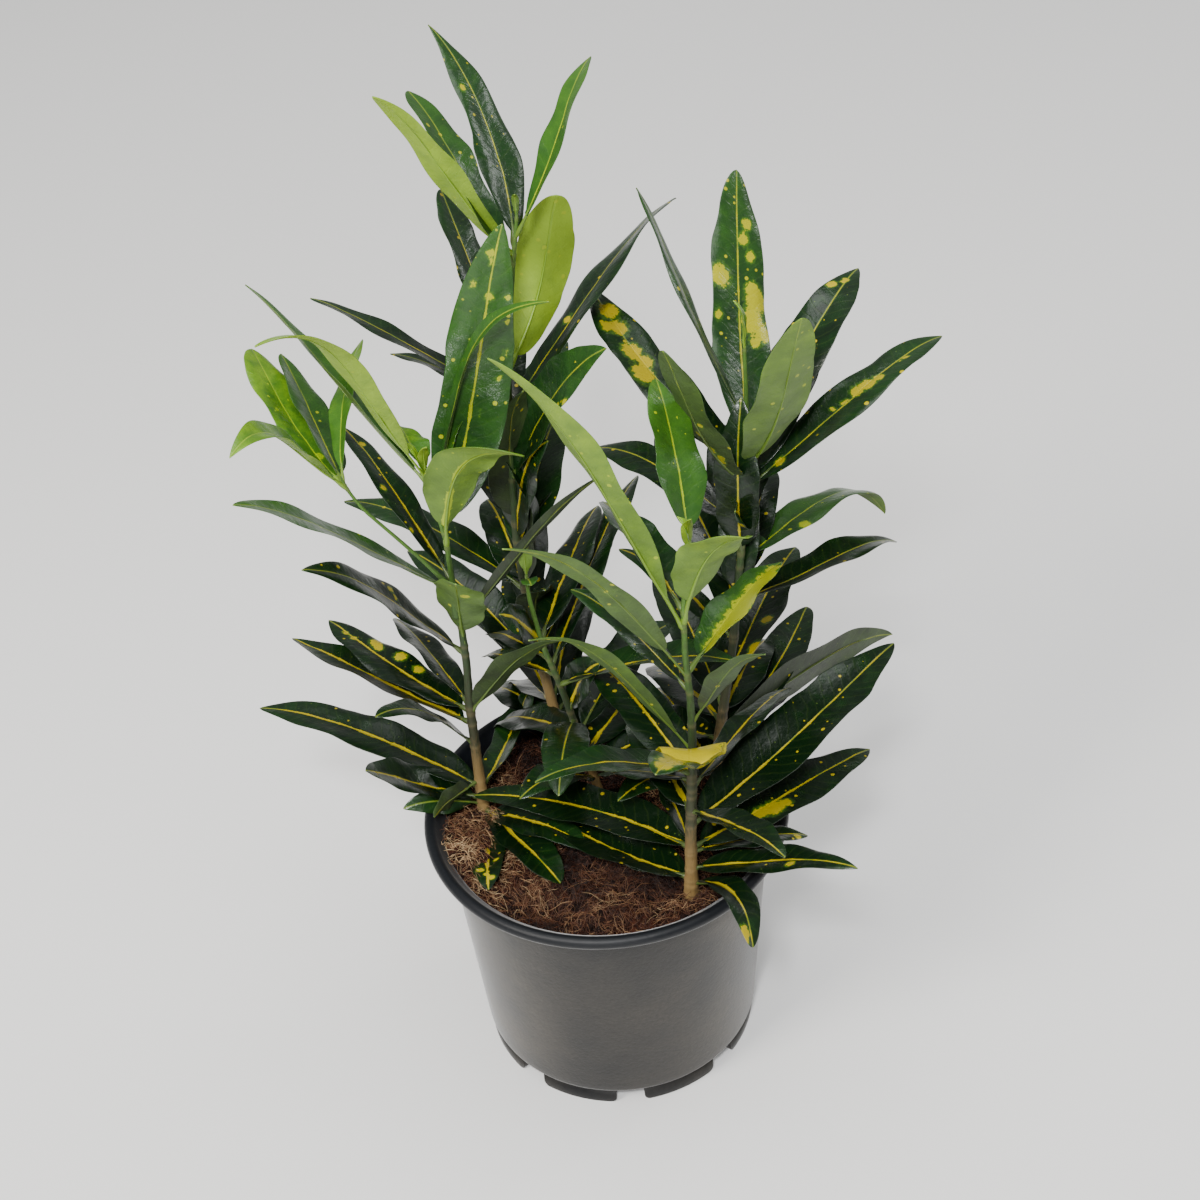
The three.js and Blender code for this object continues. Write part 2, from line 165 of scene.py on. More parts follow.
def loft(rings, looped=False):
    """Skins through rows of closed rings of points, held as (skins, rings, around, xyz). Points (i, j), (i, j + 1),
    (i + 1, j + 1) and (i + 1, j) make one face. Where looped, the last ring joins the first; otherwise one flat face
    closes each end. Returns the points, the corners of the faces and how many corners each face has."""
    skins, count, around, _ = rings.shape
    here = np.arange(count if looped else count - 1)[:, None]
    there = (here + 1) % count
    step = np.arange(around)[None]
    ahead = (step + 1) % around
    quads = [here * around + step, here * around + ahead, there * around + ahead, there * around + step]
    corners = np.stack(quads, -1).ravel()
    sizes = np.full(corners.size // 4, 4)
    if not looped:
        ends = [step[0][::-1], (count - 1) * around + step[0]]
        corners = np.concatenate([corners, *ends])
        sizes = np.concatenate([sizes, [around, around]])
    offsets = np.arange(skins)[:, None] * count * around
    return rings.reshape(-1, 3), (corners + offsets).ravel(), np.tile(sizes, skins)


def make(name, skins, finishes, node):
    """One object from several lofted skins. Each is (loft, number of its finish, marks), and marks are named vectors,
    one for each point, that its material reads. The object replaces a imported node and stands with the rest."""
    first = np.cumsum([0] + [len(points) for (points, _, _), _, _ in skins])
    points = np.concatenate([skin[0] for skin, _, _ in skins]) * MM + FOOT_OF_POT
    corners = np.concatenate([skin[1] + start for (skin, _, _), start in zip(skins, first)])
    sizes = np.concatenate([skin[2] for skin, _, _ in skins])
    finish = np.concatenate([np.full(len(skin[2]), number) for skin, number, _ in skins])
    mesh = bpy.data.meshes.new(name)
    mesh.vertices.add(len(points))
    mesh.vertices.foreach_set("co", points.astype(np.float32).ravel())
    mesh.loops.add(len(corners))
    mesh.loops.foreach_set("vertex_index", corners.astype(np.int32))
    mesh.polygons.add(len(sizes))
    mesh.polygons.foreach_set("loop_start", (np.cumsum(sizes) - sizes).astype(np.int32))
    mesh.polygons.foreach_set("material_index", finish.astype(np.int32))
    mesh.polygons.foreach_set("use_smooth", np.ones(len(sizes), bool))
    for key in sorted({key for _, _, marks in skins for key in marks}):
        values = [np.broadcast_to(marks.get(key, 0.0), skin[0].shape) for skin, _, marks in skins]
        mark = mesh.attributes.new(key, "FLOAT_VECTOR", "POINT")
        mark.data.foreach_set("vector", np.concatenate(values).astype(np.float32).ravel())
    mesh.update(calc_edges=True)
    for material in finishes:
        mesh.materials.append(material)
    made = bpy.data.objects.new(name, mesh)
    bpy.context.scene.collection.objects.link(made)
    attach(made, "root")
    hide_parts(node)


def bend(start, knee, end, steps):
    """A curve from start to end that leaves and arrives towards knee: (1 - t)² start + 2t(1 - t) knee + t² end."""
    t = np.linspace(0, 1, steps)[:, None]
    return (1 - t) ** 2 * np.array(start) + 2 * t * (1 - t) * np.array(knee) + t**2 * np.array(end)


def arc(centre, radius, first, last, steps):
    """Points of a circle in the (radius, height) plane, from angle first to angle last in degrees."""
    a = np.radians(np.linspace(first, last, steps))
    return np.array(centre) + radius * np.stack([np.cos(a), np.sin(a)], -1)


def turned(profile, turns):
    """A profile of (radius, height) pairs carried round +Z: x = radius cos turn, y = radius sin turn."""
    radius, height = profile[None, :, 0], profile[None, :, 1]
    turn = turns[:, None]
    return np.stack([radius * np.cos(turn), radius * np.sin(turn), height + 0 * turn], -1)


def pot_wall():
    """The wall's section, turned: foot corner, straight taper, the flare under the lip, the lip as most of a circle,
    and the inside back down to the floor. The slow wobble is what moulded pots keep from cooling: 0.15 mm twice round
    and 0.07 mm five times round. Also says which points are on the outside, where dust settles."""
    section = np.concatenate([
        [(44.0, FLOOR_LOW), (46.5, FLOOR_LOW)],
        arc((48.0, 9.0), 3.0, -90, -4.4, 9),
        np.linspace((51.2, 11.0), (57.3, 90.5), 40),
        bend((57.5, 92.5), (58.1, 98.2), (61.9, 99.6), 10),
        arc(LIP_CENTRE, LIP_RADIUS, -95, 155, 24),
        bend((59.9, 102.1), (57.6, 100.5), (56.5, 95.5), 8)[1:],
        np.linspace((55.8, 92.0), (49.6, 8.3), 18),
        [(49.4, FLOOR_HIGH), (44.0, FLOOR_HIGH)],
    ])
    turns = np.linspace(0, 2 * np.pi, WALL_TURNS, endpoint=False)
    rings = turned(section, turns)
    wobble = OVAL_WOBBLE * np.sin(2 * turns + 0.6) + FIVEFOLD_WOBBLE * np.sin(5 * turns)
    lifted = np.clip((section[:, 1] - 20) / 70, 0, 1)
    rings[..., :2] *= 1 + (wobble[:, None] * lifted / WALL_RADIUS)[..., None]
    outer = np.arange(len(section)) < SECTION_POINTS_OUTSIDE
    return loft(rings[None], looped=True), np.tile(outer, len(turns))[:, None]


def pot_floor():
    """One eighth of the floor round each drain hole. From the hole's centre a ray at every angle runs to the eighth's
    border, which is the nearest of its two straight sides and its round one, and the floor fills the ray from the
    hole's edge outwards, below and above."""
    fan = np.linspace(0, 2 * np.pi, 96, endpoint=False)
    ray = np.stack([np.cos(fan), np.sin(fan)], -1)
    half = np.pi / 8
    sides = []
    for sign in (-1, 1):
        normal = np.array([-sign * np.sin(half), np.cos(half)]) * sign
        away = np.dot(ray, normal)
        sides.append(np.where(away > 1e-6, -DRAIN_CIRCLE * normal[0] / np.where(away > 1e-6, away, 1), np.inf))
    along = DRAIN_CIRCLE * ray[:, 0]
    sides.append(-along + np.sqrt(along**2 + FLOOR_RADIUS**2 - DRAIN_CIRCLE**2))
    reach = np.min(sides, axis=0)
    share = np.concatenate([np.linspace(1, 0, 6), np.linspace(0, 1, 6)])
    height = np.concatenate([np.full(6, FLOOR_LOW + 0.02), np.full(6, FLOOR_HIGH - 0.02)])
    distance = DRAIN_RADIUS + (reach[:, None] - DRAIN_RADIUS) * share
    flat = np.array([DRAIN_CIRCLE, 0]) + ray[:, None] * distance[..., None]
    turn = DRAIN_TURNS[:, None, None]
    x = flat[None, ..., 0] * np.cos(turn) - flat[None, ..., 1] * np.sin(turn)
    y = flat[None, ..., 0] * np.sin(turn) + flat[None, ..., 1] * np.cos(turn)
    return loft(np.stack([x, y, np.broadcast_to(height, x.shape)], -1), looped=True)


def pot_feet():
    """Eight feet: a rounded bar section carried along its arc. Near each end the underside rises as a quarter circle,
    so the lower corners are round."""
    run = FOOT_OUTSIDE * FOOT_HALF_ARC
    ends = 1 - np.cos(np.linspace(0, np.pi / 2, 9))
    between = np.linspace(-run + FOOT_CORNER, run - FOOT_CORNER, 12)[1:-1]
    place = np.concatenate([-run + FOOT_CORNER * ends, between, (run - FOOT_CORNER * ends)[::-1]])
    left = np.minimum(run - np.abs(place), FOOT_CORNER)
    low = FOOT_CORNER - np.sqrt(np.maximum(FOOT_CORNER**2 - (FOOT_CORNER - left) ** 2, 0))
    inner = FOOT_OUTSIDE - FOOT_WALL
    edge = 0.5
    section = np.concatenate([
        [(inner, 1.0)],
        arc((inner + edge, edge), edge, 180, 270, 4),
        arc((FOOT_OUTSIDE - edge, edge), edge, -90, 0, 5),
        [(FOOT_OUTSIDE, 1.0)],
    ])
    radius, height = section[:, 0], section[:, 1]
    height = low[:, None] + height * np.minimum(1, (FLOOR_HIGH - 1 - low[:, None]) / 7)
    top = np.full((len(place), 1), FLOOR_HIGH - 1)
    height = np.concatenate([height, top, top], 1)
    radius = np.concatenate([radius, [FOOT_OUTSIDE, inner]])
    turn = FOOT_TURNS[:, None, None] + (place / FOOT_OUTSIDE)[None, :, None]
    radius = np.broadcast_to(radius, (len(FOOT_TURNS), len(place), len(radius)))
    height = np.broadcast_to(height, radius.shape)
    return loft(np.stack([radius * np.cos(turn), radius * np.sin(turn), height], -1))


# Polypropylene with carbon black, injection moulded and much handled: near black and satin where it is rubbed, on
# the lip, and greyed on the wall by chalky dust that is drawn out along the turning of the pot. The flare just under
# the lip fades to near black as painted shade, and the wall's dust is thinned across its middle and full at its left
# and right, a painted sheen on its sides. Places are in metres here and in the soil, so a noise's scale says how many
# of its grains fit in a metre.
TIMES = ("Math", {"operation": "MULTIPLY"})
TIMES_PLUS = ("Math", {"operation": "MULTIPLY_ADD"})
SIZE_OF = ("Math", {"operation": "ABSOLUTE"})
EASED_RANGE = ("MapRange", {"interpolation_type": "SMOOTHSTEP"})
BLEND = ("Mix", {"data_type": "RGBA"})
OVERLAY = ("Mix", {"data_type": "RGBA", "blend_type": "OVERLAY"})

polypropylene, tree, shader = start_material("moulded_black_polypropylene")
place = add(tree, "TexCoord").outputs["Object"]
height = add(tree, "SeparateXYZ", place).outputs["Z"]
# Painted shade under the lip: the dust colour runs up to 91 mm and fades to near black by 99 mm, over the flare under
# the lip; the rubbed lip above is near black of its own.
dust_below_painted_lip_shade = add(tree, EASED_RANGE, height, From_Min=0.091, From_Max=0.099, To_Min=1.0, To_Max=0.0)
outside = add(tree, "SeparateXYZ", add(tree, ("Attribute", {"attribute_name": "pot_side"})).outputs["Vector"])
dust_below_painted_lip_shade = add(tree, TIMES, dust_below_painted_lip_shade, outside)
smears = add(tree, "TexNoise", add(tree, "Mapping", place, Scale=(1, 1, 1.3)), Scale=22.0, Detail=7.0, Roughness=0.62)
grit = add(tree, "TexNoise", place, Scale=700.0, Detail=4.0, Roughness=0.7)
dust = add(tree, "MapRange", smears, From_Min=0.35, From_Max=0.68)
# Painted sheen on the wall's sides: the dust is thinned to three tenths across the middle of the wall, front and back,
# and runs full towards its left and right, so the sides stand lighter.
aside = add(tree, SIZE_OF, add(tree, "SeparateXYZ", place))
painted_side_sheen = add(tree, EASED_RANGE, aside, From_Min=0.012, From_Max=0.05, To_Min=0.3, To_Max=1.0)
# From here dust carries the painted side sheen as well as the dust.
dust = add(tree, TIMES, dust, painted_side_sheen)
wall_colour = add(tree, BLEND, dust, in6=linear("#0a0a0a"), in7=linear("#4d4840"))
wall_colour = add(tree, OVERLAY, 0.8, in6=wall_colour, in7=add(tree, "ValToRGB", grit))
colour = add(tree, BLEND, dust_below_painted_lip_shade, in6=linear("#04070d"), in7=wall_colour)
rough = add(tree, "MapRange", dust_below_painted_lip_shade, To_Min=0.3, To_Max=0.2)
rough = add(tree, TIMES_PLUS, smears, 0.4, rough)
plug(shader, Base_Color=colour, Roughness=rough, IOR=1.49, Specular_IOR_Level=0.32, Sheen_Weight=0.22,
     Sheen_Roughness=0.35, Normal=add(tree, "Bump", Strength=0.5, Distance=0.0002, Height=grit))

wall_skin, wall_side = pot_wall()
# The feet take six tenths of the wall's dust colour, so they stand darker than the wall.
pot_skins = [(wall_skin, 0, {"pot_side": wall_side}), (pot_floor(), 0, {}), (pot_feet(), 0, {"pot_side": 0.6})]
make("nursery_pot", pot_skins, [polypropylene], "pot")

# ---------------------------------------------------------------- the soil
# A root ball of coir fibre and peat, pushed in by hand to a finger's width under the lip. Its top is lumpy, with
# a hollow at the front left and a heap against the wall at the left, and curled fibres of coconut husk lie all over.
# Lumps are their height, grain and seed, and humps are their middle, half widths and height, in mm.

SOIL_LEVEL = 93.6
SOIL_EDGE = 55.1
SOIL_LOW_EDGE = 49.3
SOIL_FLOOR = 8.3
SOIL_LUMPS = ((1.9, 14.0, 3), (1.8, 5.5, 4), (0.65, 2.2, 5))
HOLLOW, HEAP = (-22, -41, 10, 7, 4.0), (-52, -14, 18, 26, 7.4)
DRY_DRIFT, DRY_CLUMP = (-48, -18, 18, 26, 0.44), (-1, -40, 8, 5, 0.3)
HEAP_TURN, HEAP_HALF_ARC, HEAP_REACH = 195, 36, 3.6
RIM_INSIDE, RIM_WIDTH = 49, 6
CRUMB_REACH, LARGEST_CRUMB = 53.5, 1.7
COIR_INSET, COIR_PATCH = 1.6, 9.0


def cloud(place, grain, seed):
    """Smooth random field from -1 to 1. Each corner of a grid of cubes, grain mm wide, has a random number, and
    between the corners it is blended by 3t² - 2t³ along each axis."""
    cell = np.asarray(place, float) / grain + seed * 17.31
    corner = np.floor(cell).astype(np.int64)
    t = cell - corner
    t = t * t * (3 - 2 * t)
    total = 0
    for step in np.ndindex(2, 2, 2):
        x, y, z = np.moveaxis(corner + step, -1, 0)
        mixed = (x * 73856093) ^ (y * 19349663) ^ (z * 83492791) ^ (seed * 2654435761)
        mixed = (mixed ^ (mixed >> 13)) * 1274126177 & 0x7FFFFFFF
        weight = np.prod(np.where(np.array(step) == 1, t, 1 - t), axis=-1)
        total = total + weight * (mixed % 20011 / 10005.0 - 1)
    return total


def soil_edge(turn):
    """How far the soil reaches: a circle, with 3.6 exp(-(d / 36)²) more at the left, where it is heaped up the flare of
    the wall, for d degrees from there."""
    aside = np.mod(np.degrees(turn), 360) - HEAP_TURN
    return SOIL_EDGE + HEAP_REACH * np.exp(-((aside / HEAP_HALF_ARC) ** 2))


def hump(x, y, middle_x, middle_y, half_x, half_y, height):
    """A smooth round hump: height exp(-((x - middle) / half width)² - ((y - middle) / half width)²)."""
    return height * np.exp(-(((x - middle_x) / half_x) ** 2) - ((y - middle_y) / half_y) ** 2)


def soil_height(x, y):
    """The level top plus three sizes of lump, which fade and sink by 0.3 mm in the last 6 mm before the wall, less the
    hollow and plus the heap."""
    flat = np.stack([x, y, 0 * x], -1)
    lumps = sum(height * cloud(flat, grain, seed) for height, grain, seed in SOIL_LUMPS)
    rim = np.clip((np.hypot(x, y) - RIM_INSIDE) / RIM_WIDTH, 0, 1)
    return SOIL_LEVEL + lumps * (1 - 0.6 * rim) - 0.3 * rim - hump(x, y, *HOLLOW) + hump(x, y, *HEAP)


def root_ball():
    """Rings from the middle of the top to its edge, in under the heap, down the side of the pot and in to the middle of
    the floor."""
    turns = np.linspace(0, 2 * np.pi, 240, endpoint=False)
    top = np.linspace(0, 1, 96)[:, None] * soil_edge(turns) + 0.3
    x, y = top * np.cos(turns), top * np.sin(turns)
    surface = np.stack([x, y, soil_height(x, y)], -1)
    side = [(SOIL_EDGE - 0.7, 90.0), (SOIL_LOW_EDGE + 3, 50.0), (SOIL_LOW_EDGE, SOIL_FLOOR)]
    low = np.array([*side, (20.0, SOIL_FLOOR), (0.3, SOIL_FLOOR)])
    under = turned(low, turns).transpose(1, 0, 2)
    return loft(np.concatenate([surface, under])[None, :, ::-1])


def crumbs(count, seed):
    """Crumbs of peat: six-sided rings of five heights, each crumb with its own size up to 1.7 mm, turn and random
    dents, with its middle a quarter of its size above the soil."""
    draw = np.random.default_rng(seed)
    turn, reach = draw.uniform(0, 2 * np.pi, count), CRUMB_REACH * np.sqrt(draw.uniform(0, 1, count))
    x, y = reach * np.cos(turn), reach * np.sin(turn)
    size = np.minimum(draw.gamma(2.2, 0.42, count) + 0.35, LARGEST_CRUMB)
    latitude = np.radians([-75, -35, 5, 45, 78])[None, :, None]
    longitude = np.radians(60.0 * np.arange(6))[None, None] + draw.uniform(0, 6, count)[:, None, None]
    radius = size[:, None, None] * (1 + draw.uniform(-0.3, 0.3, (count, 5, 6)))
    flatness = draw.uniform(0.5, 1.0, count)[:, None, None]
    shape = [radius * np.cos(latitude) * np.cos(longitude), radius * np.cos(latitude) * np.sin(longitude),
             radius * np.sin(latitude) * flatness]
    middle = np.stack([x, y, soil_height(x, y) + 0.25 * size], -1)[:, None, None]
    return loft(np.stack(shape, -1) + middle)


def coir(count, seed, fluff):
    """Loose fibres: three-sided hairs that run on along a heading that turns steadily, so that each is a piece of a
    circle, lifted by an arch of its own and by a tilt that leaves one end in the air. Their shade goes in patches,
    cloud at 9 mm, with a paler drift of dry husk at the left and a pale clump in front. fluff, 0 or 1, lifts them
    higher and makes them finer and paler."""
    draw = np.random.default_rng(seed)
    turn, reach = draw.uniform(0, 2 * np.pi, count), np.sqrt(draw.uniform(0, 1, count))
    reach = reach * (soil_edge(turn) - COIR_INSET)
    long = draw.gamma(3.0, 1.25, count) + 1.7
    heading = draw.uniform(0, 2 * np.pi, count)
    curl = draw.normal(0, 1.5, count)
    t = np.linspace(0, 1, 5)
    bearing = heading[:, None] + curl[:, None] * t
    stride = long[:, None] / (len(t) - 1)
    x = (reach * np.cos(turn))[:, None] + np.cumsum(np.cos(bearing) * stride, 1)
    y = (reach * np.sin(turn))[:, None] + np.cumsum(np.sin(bearing) * stride, 1)
    away = np.maximum(np.hypot(x, y) / (soil_edge(np.arctan2(y, x)) - 0.1 + 1.2 * fluff), 1)
    x, y = x / away, y / away
    arch = np.abs(draw.normal(0, 0.8, count))[:, None] * np.sin(np.pi * t)
    lift = arch + draw.uniform(-0.4, 1.3 + fluff, count)[:, None]
    tail = draw.uniform(0, 1, count)[:, None] ** 5 * 5 * t
    middle = np.stack([x, y, soil_height(x, y) + lift + tail], -1)
    taper = 1 - 0.6 * np.abs(2 * t - 1) ** 3
    thin = (draw.uniform(0.045, 0.125 - 0.035 * fluff, count)[:, None] * taper)[..., None, None]
    ahead = np.gradient(middle, axis=1)
    side = np.cross(ahead, [0, 0, 1.0])
    side /= np.linalg.norm(side, axis=-1, keepdims=True) + 1e-9
    up = np.cross(side, ahead)
    up /= np.linalg.norm(up, axis=-1, keepdims=True) + 1e-9
    around = np.radians([90.0, 210.0, 330.0])[:, None]
    rings = middle[:, :, None] + thin * (side[:, :, None] * np.cos(around) + up[:, :, None] * np.sin(around))
    flat = np.stack([x[:, 0], y[:, 0], 0 * x[:, 0]], -1)
    drift = hump(x[:, 0], y[:, 0], *DRY_DRIFT) + hump(x[:, 0], y[:, 0], *DRY_CLUMP)
    shade = 0.5 * draw.uniform(0, 1, count) + 0.12 + 0.46 * cloud(flat, COIR_PATCH, 9) + drift + 0.1 * fluff
    return loft(rings), {"hair": np.repeat(shade, len(t) * len(around))[:, None]}


# Damp peat and coir: red brown and black in patches, matt, and rough at every size.
peat, tree, shader = start_material("damp_coir_and_peat")
place = add(tree, "TexCoord").outputs["Object"]
patches = add(tree, "TexNoise", place, Scale=110.0, Detail=6.0, Roughness=0.7)
browns = add(tree, "ValToRGB", patches,
             stops=((0.34, "#070303"), (0.50, "#1a0b06"), (0.63, "#3a1c10"), (0.80, "#6b452c")))
grain = add(tree, "TexNoise", place, Scale=420.0, Detail=8.0, Roughness=0.75)
plug(shader, Base_Color=browns, Roughness=0.95, Specular_IOR_Level=0.2,
     Normal=add(tree, "Bump", Strength=0.9, Distance=0.0012, Height=grain))

# Coconut husk fibre, dry: from red brown to pale straw, each hair its own shade, slightly shiny.
husk, tree, shader = start_material("coconut_husk_fibre")
shade = add(tree, "SeparateXYZ", add(tree, ("Attribute", {"attribute_name": "hair"})).outputs["Vector"])
straws = add(tree, "ValToRGB", shade,
             stops=((0.2, "#170a06"), (0.45, "#3c1d0e"), (0.65, "#683e24"), (0.82, "#94704e"), (0.97, "#c2a67e")))
plug(shader, Base_Color=straws, Roughness=0.6)

coir_skin, coir_marks = coir(count=7500, seed=22, fluff=0)
fluff_skin, fluff_marks = coir(count=7000, seed=23, fluff=1)
make("root_ball", [(root_ball(), 0, {}), (crumbs(count=1500, seed=21), 0, {})], [peat], "soil")
make("coir_fibres", [(coir_skin, 0, coir_marks)], [husk], "soil")
make("loose_coir_fluff", [(fluff_skin, 0, fluff_marks)], [husk], "soil")

# ---------------------------------------------------------------- the cuttings
# Five croton cuttings, each rooted in the soil: a thin woody trunk, ringed by the scars of old leaves and green
# towards its tip, and leathery leaves on short stalks, set round it in a spiral. All grew as one piece.
#
# A shoot is the seed of its leaves' folds, its stem as rows of x, y, z and radius, and its leaves, in mm and degrees:
#   at, turn and rise   where on the stem it starts, its bearing from +X and how steeply it climbs
#   long and wide       from stem to tip, and across the blade
#   droop and sway      how far its middle bows upwards and to the side
#   tilt and twist      how far the blade is rolled, and how much more by its tip
#   hook and stalk      how far the outer half is arched, and the length of the leaf's stalk
#   full and point      0 widens slowly to 1 for a strap, and 0 for a round tip to 1 for a sharp one
#   age                 0 for a lime green new leaf to 1 for a nearly black old one
#   rib and dust        half width of the yellow along the midrib, and how thickly small specks lie, 0 to 1
# and then its yellow blotches: s along the blade, x across it from -1 to 1, and radius.
# FILLER and BUD are droop to point of the plain leaves in between and of the small ones at a tip.

FILLER = (4, 0, 0, 0, 2, 4, 0.8, 0.55)
BUD = (1, 0, 0, 0, 1, 2, 0.5, 0.8)
FRONT_LEFT = (21569, [
    (-44, 9, 90, 2.4), (-44, 9, 122, 2.3), (-44, 8, 148, 2.1), (-43, 7, 171, 1.9), (-43, 6, 186, 1.8),
    (-44, 4, 213, 1.5), (-44, 3, 226, 1.3), (-46, 3, 240, 1.1), (-48, 4, 254, 0.9),
], [
    (250, -135, 55, 96, 10, 5, 2, -19, 0, 9, 14, 0.75, 0.4, 0.05, 0.19, 0.15),
    (248, 130, 23, 96, 12, 1, -1, -46, 0, 3, 7, 0.79, 0.73, 0.45, 0.12, 0.1),
    (251, 109, 4, 28, 12, 1, 0, -28, 0, 1, 8, 0.77, 0.72, 0.22, 0.19, 0.3, (0.47, -0.4, 1.3)),
    (229, 38, 70, 104, 22, -6, -4, -50, 0, 2, 6, 0.97, 0.5, 0.57, 0.55, 0.9, (0.9, -0.3, 1.4), (0.87, -0.1, 1.2),
     (0.79, -0.62, 1.3), (0.75, 0.05, 1.5), (0.76, 0.7, 1), (0.68, 0.7, 0.9), (0.57, 0.72, 1.1), (0.48, 0.7, 1),
     (0.6, -0.3, 0.8), (0.35, 0.3, 0.9)),
    (240, -2, 60, 84, 6.5, 6, -13, -10, 0, 6, 8, 0.4, 0.6, 0.5, 0.19, 0.1),
    (244, 60, 36, 44, 9, 2, 0, 22, 0, 1, 8, 0.82, 0.44, 0.3, 0.25, 0.2),
    (223, -27, 54, 54, 19, 9, 1, 52, 0, 5, 8, 0.7, 0.3, 0.3, 1.1, 0.6),
    (207, 123, 24, 70, 13, 5, -1, -26, 0, 2, 6, 0.7, 0.6, 0.9, 0.5, 0.5, (0.82, 0.25, 1.2), (0.5, -0.6, 1.3),
     (0.23, -0.8, 1)),
    (203, -160, 42, 88, 14, -2, 10, -4, 0, 2, 6, 0.6, 0.6, 0.5, 0.19, 0.2),
    (178, -86, 70, 40, 18, 2, 0, 27, 0, 1, 8, 0.8, 0.2, 0.55, 0.25, 0.3, (0.67, -0.3, 1.6)),
    (174, -163, 47, 72, 17, 1, 5, 3, 0, 3, 5, 0.7, 0.7, 0.95, 0.25, 0.4, (0.43, 0.65, 1.3), (0.4, 0.35, 1)),
    (149, 118, 0, 58, 15, 3, 0, -32, 0, 1, 5, 0.7, 0.6, 1, 0.37, 0.3),
    (147, 135, 3, 72, 18, 0, -2, -15, 0, 1, 4, 0.8, 0.6, 1, 0.62, 0.5, (0.68, 0.6, 2.4), (0.64, 0.4, 1.9),
     (0.5, 0.55, 2.3), (0.36, 0.55, 2), (0.78, -0.05, 1.3), (0.84, -0.1, 1.2)),
    (141, 144, 4, 80, 18, -1, 0, -19, 0, 1, 4, 0.8, 0.6, 1, 0.93, 0.4),
    (130, -147, 44, 50, 13, 4, 3, -1, 0, 2, 4, 0.61, 0.48, 0.95, 0.25, 0.3),
    (109, 152, 5, 92, 20, 3, 2, -9, 0, 2, 3, 0.9, 0.5, 0.95, 0.74, 0.3),
    (104, -157, 39, 52, 16, -4, 5, 11, 0, 1, 3, 0.8, 0.5, 0.95, 0.74, 0.4),
    (101, -164, 16, 30, 9, 2, 0, 60, 0, 1, 5, 0.71, 0.64, 0.8, 0, 0.1),
    (113, -140, -8, 22, 11, 1, 0, -80, 0, 1, 5, 0.61, 0.73, 0.85, 0.37, 0.1),
    (99, -57, 0, 48, 16, 1, 0, 8, 0, 1, 4, 0.8, 0.3, 1, 0.87, 0.3),
    (98.4, -88, 4, 43, 13, -3.4, 0, -6, 0, 3.2, 9, 0.8, 0.5, 1, 1.4, 1, (0.72, 0.45, 1.5), (0.86, -0.35, 1.3),
     (0.6, -0.55, 1.1), (0.8, 0.1, 0.9)),
    (187, 14, 43, 70, 6.5, 2, 0, 70, 0, 2, 4, 0.66, 0.46, 0.99, 0.12, 0.2),
    (146, -26, 49, 58, 14, 3, 0, 42, 0, 2, 5, 0.59, 0.42, 0.8, 0.19, 0.1),
    (108, 69, 2, 56, 15, -1, 1, 29, 0, 2, 5, 0.64, 0.61, 0.8, 0.62, 0.2),
    (97, -37, 5, 46, 15, 3, 0, 0, 0, 2, 4, 0.8, 0.55, 0.95, 0.9, 0.35),
    (252, -60, 74, 13, 4, *BUD, 0.1, 0.1, 0),
    (250, 170, 66, 16, 4, *BUD, 0.1, 0.1, 0),
])
FRONT_LEFT_BRANCH = (12618, [
    (-44, 4, 205, 1.2), (-52, 4, 217, 1.1), (-60, 3, 229, 1.1), (-69, 2, 242, 1), (-74, 2, 253, 0.9),
], [
    (251, 118, 14, 68, 18, -3, -2, -32, 0, 3, 6, 0.7, 0.2, 0.2, 0.31, 0.3, (0.18, 0.15, 1.6), (0.52, -0.5, 1)),
    (252, 110, 11, 64, 15, -4, 1, -42, 0, 2, 6, 0.6, 0.5, 0.5, 0.25, 0.3),
    (250, -128, 42, 60, 11, 5, 5, 16, 0, 6, 6, 0.4, 0.7, 0.2, 0.19, 0.1),
    (252, 83, 18, 58, 11, 1, -3, 43, 0, 1, 6, 0.4, 0.6, 0.25, 0.19, 0.1),
])
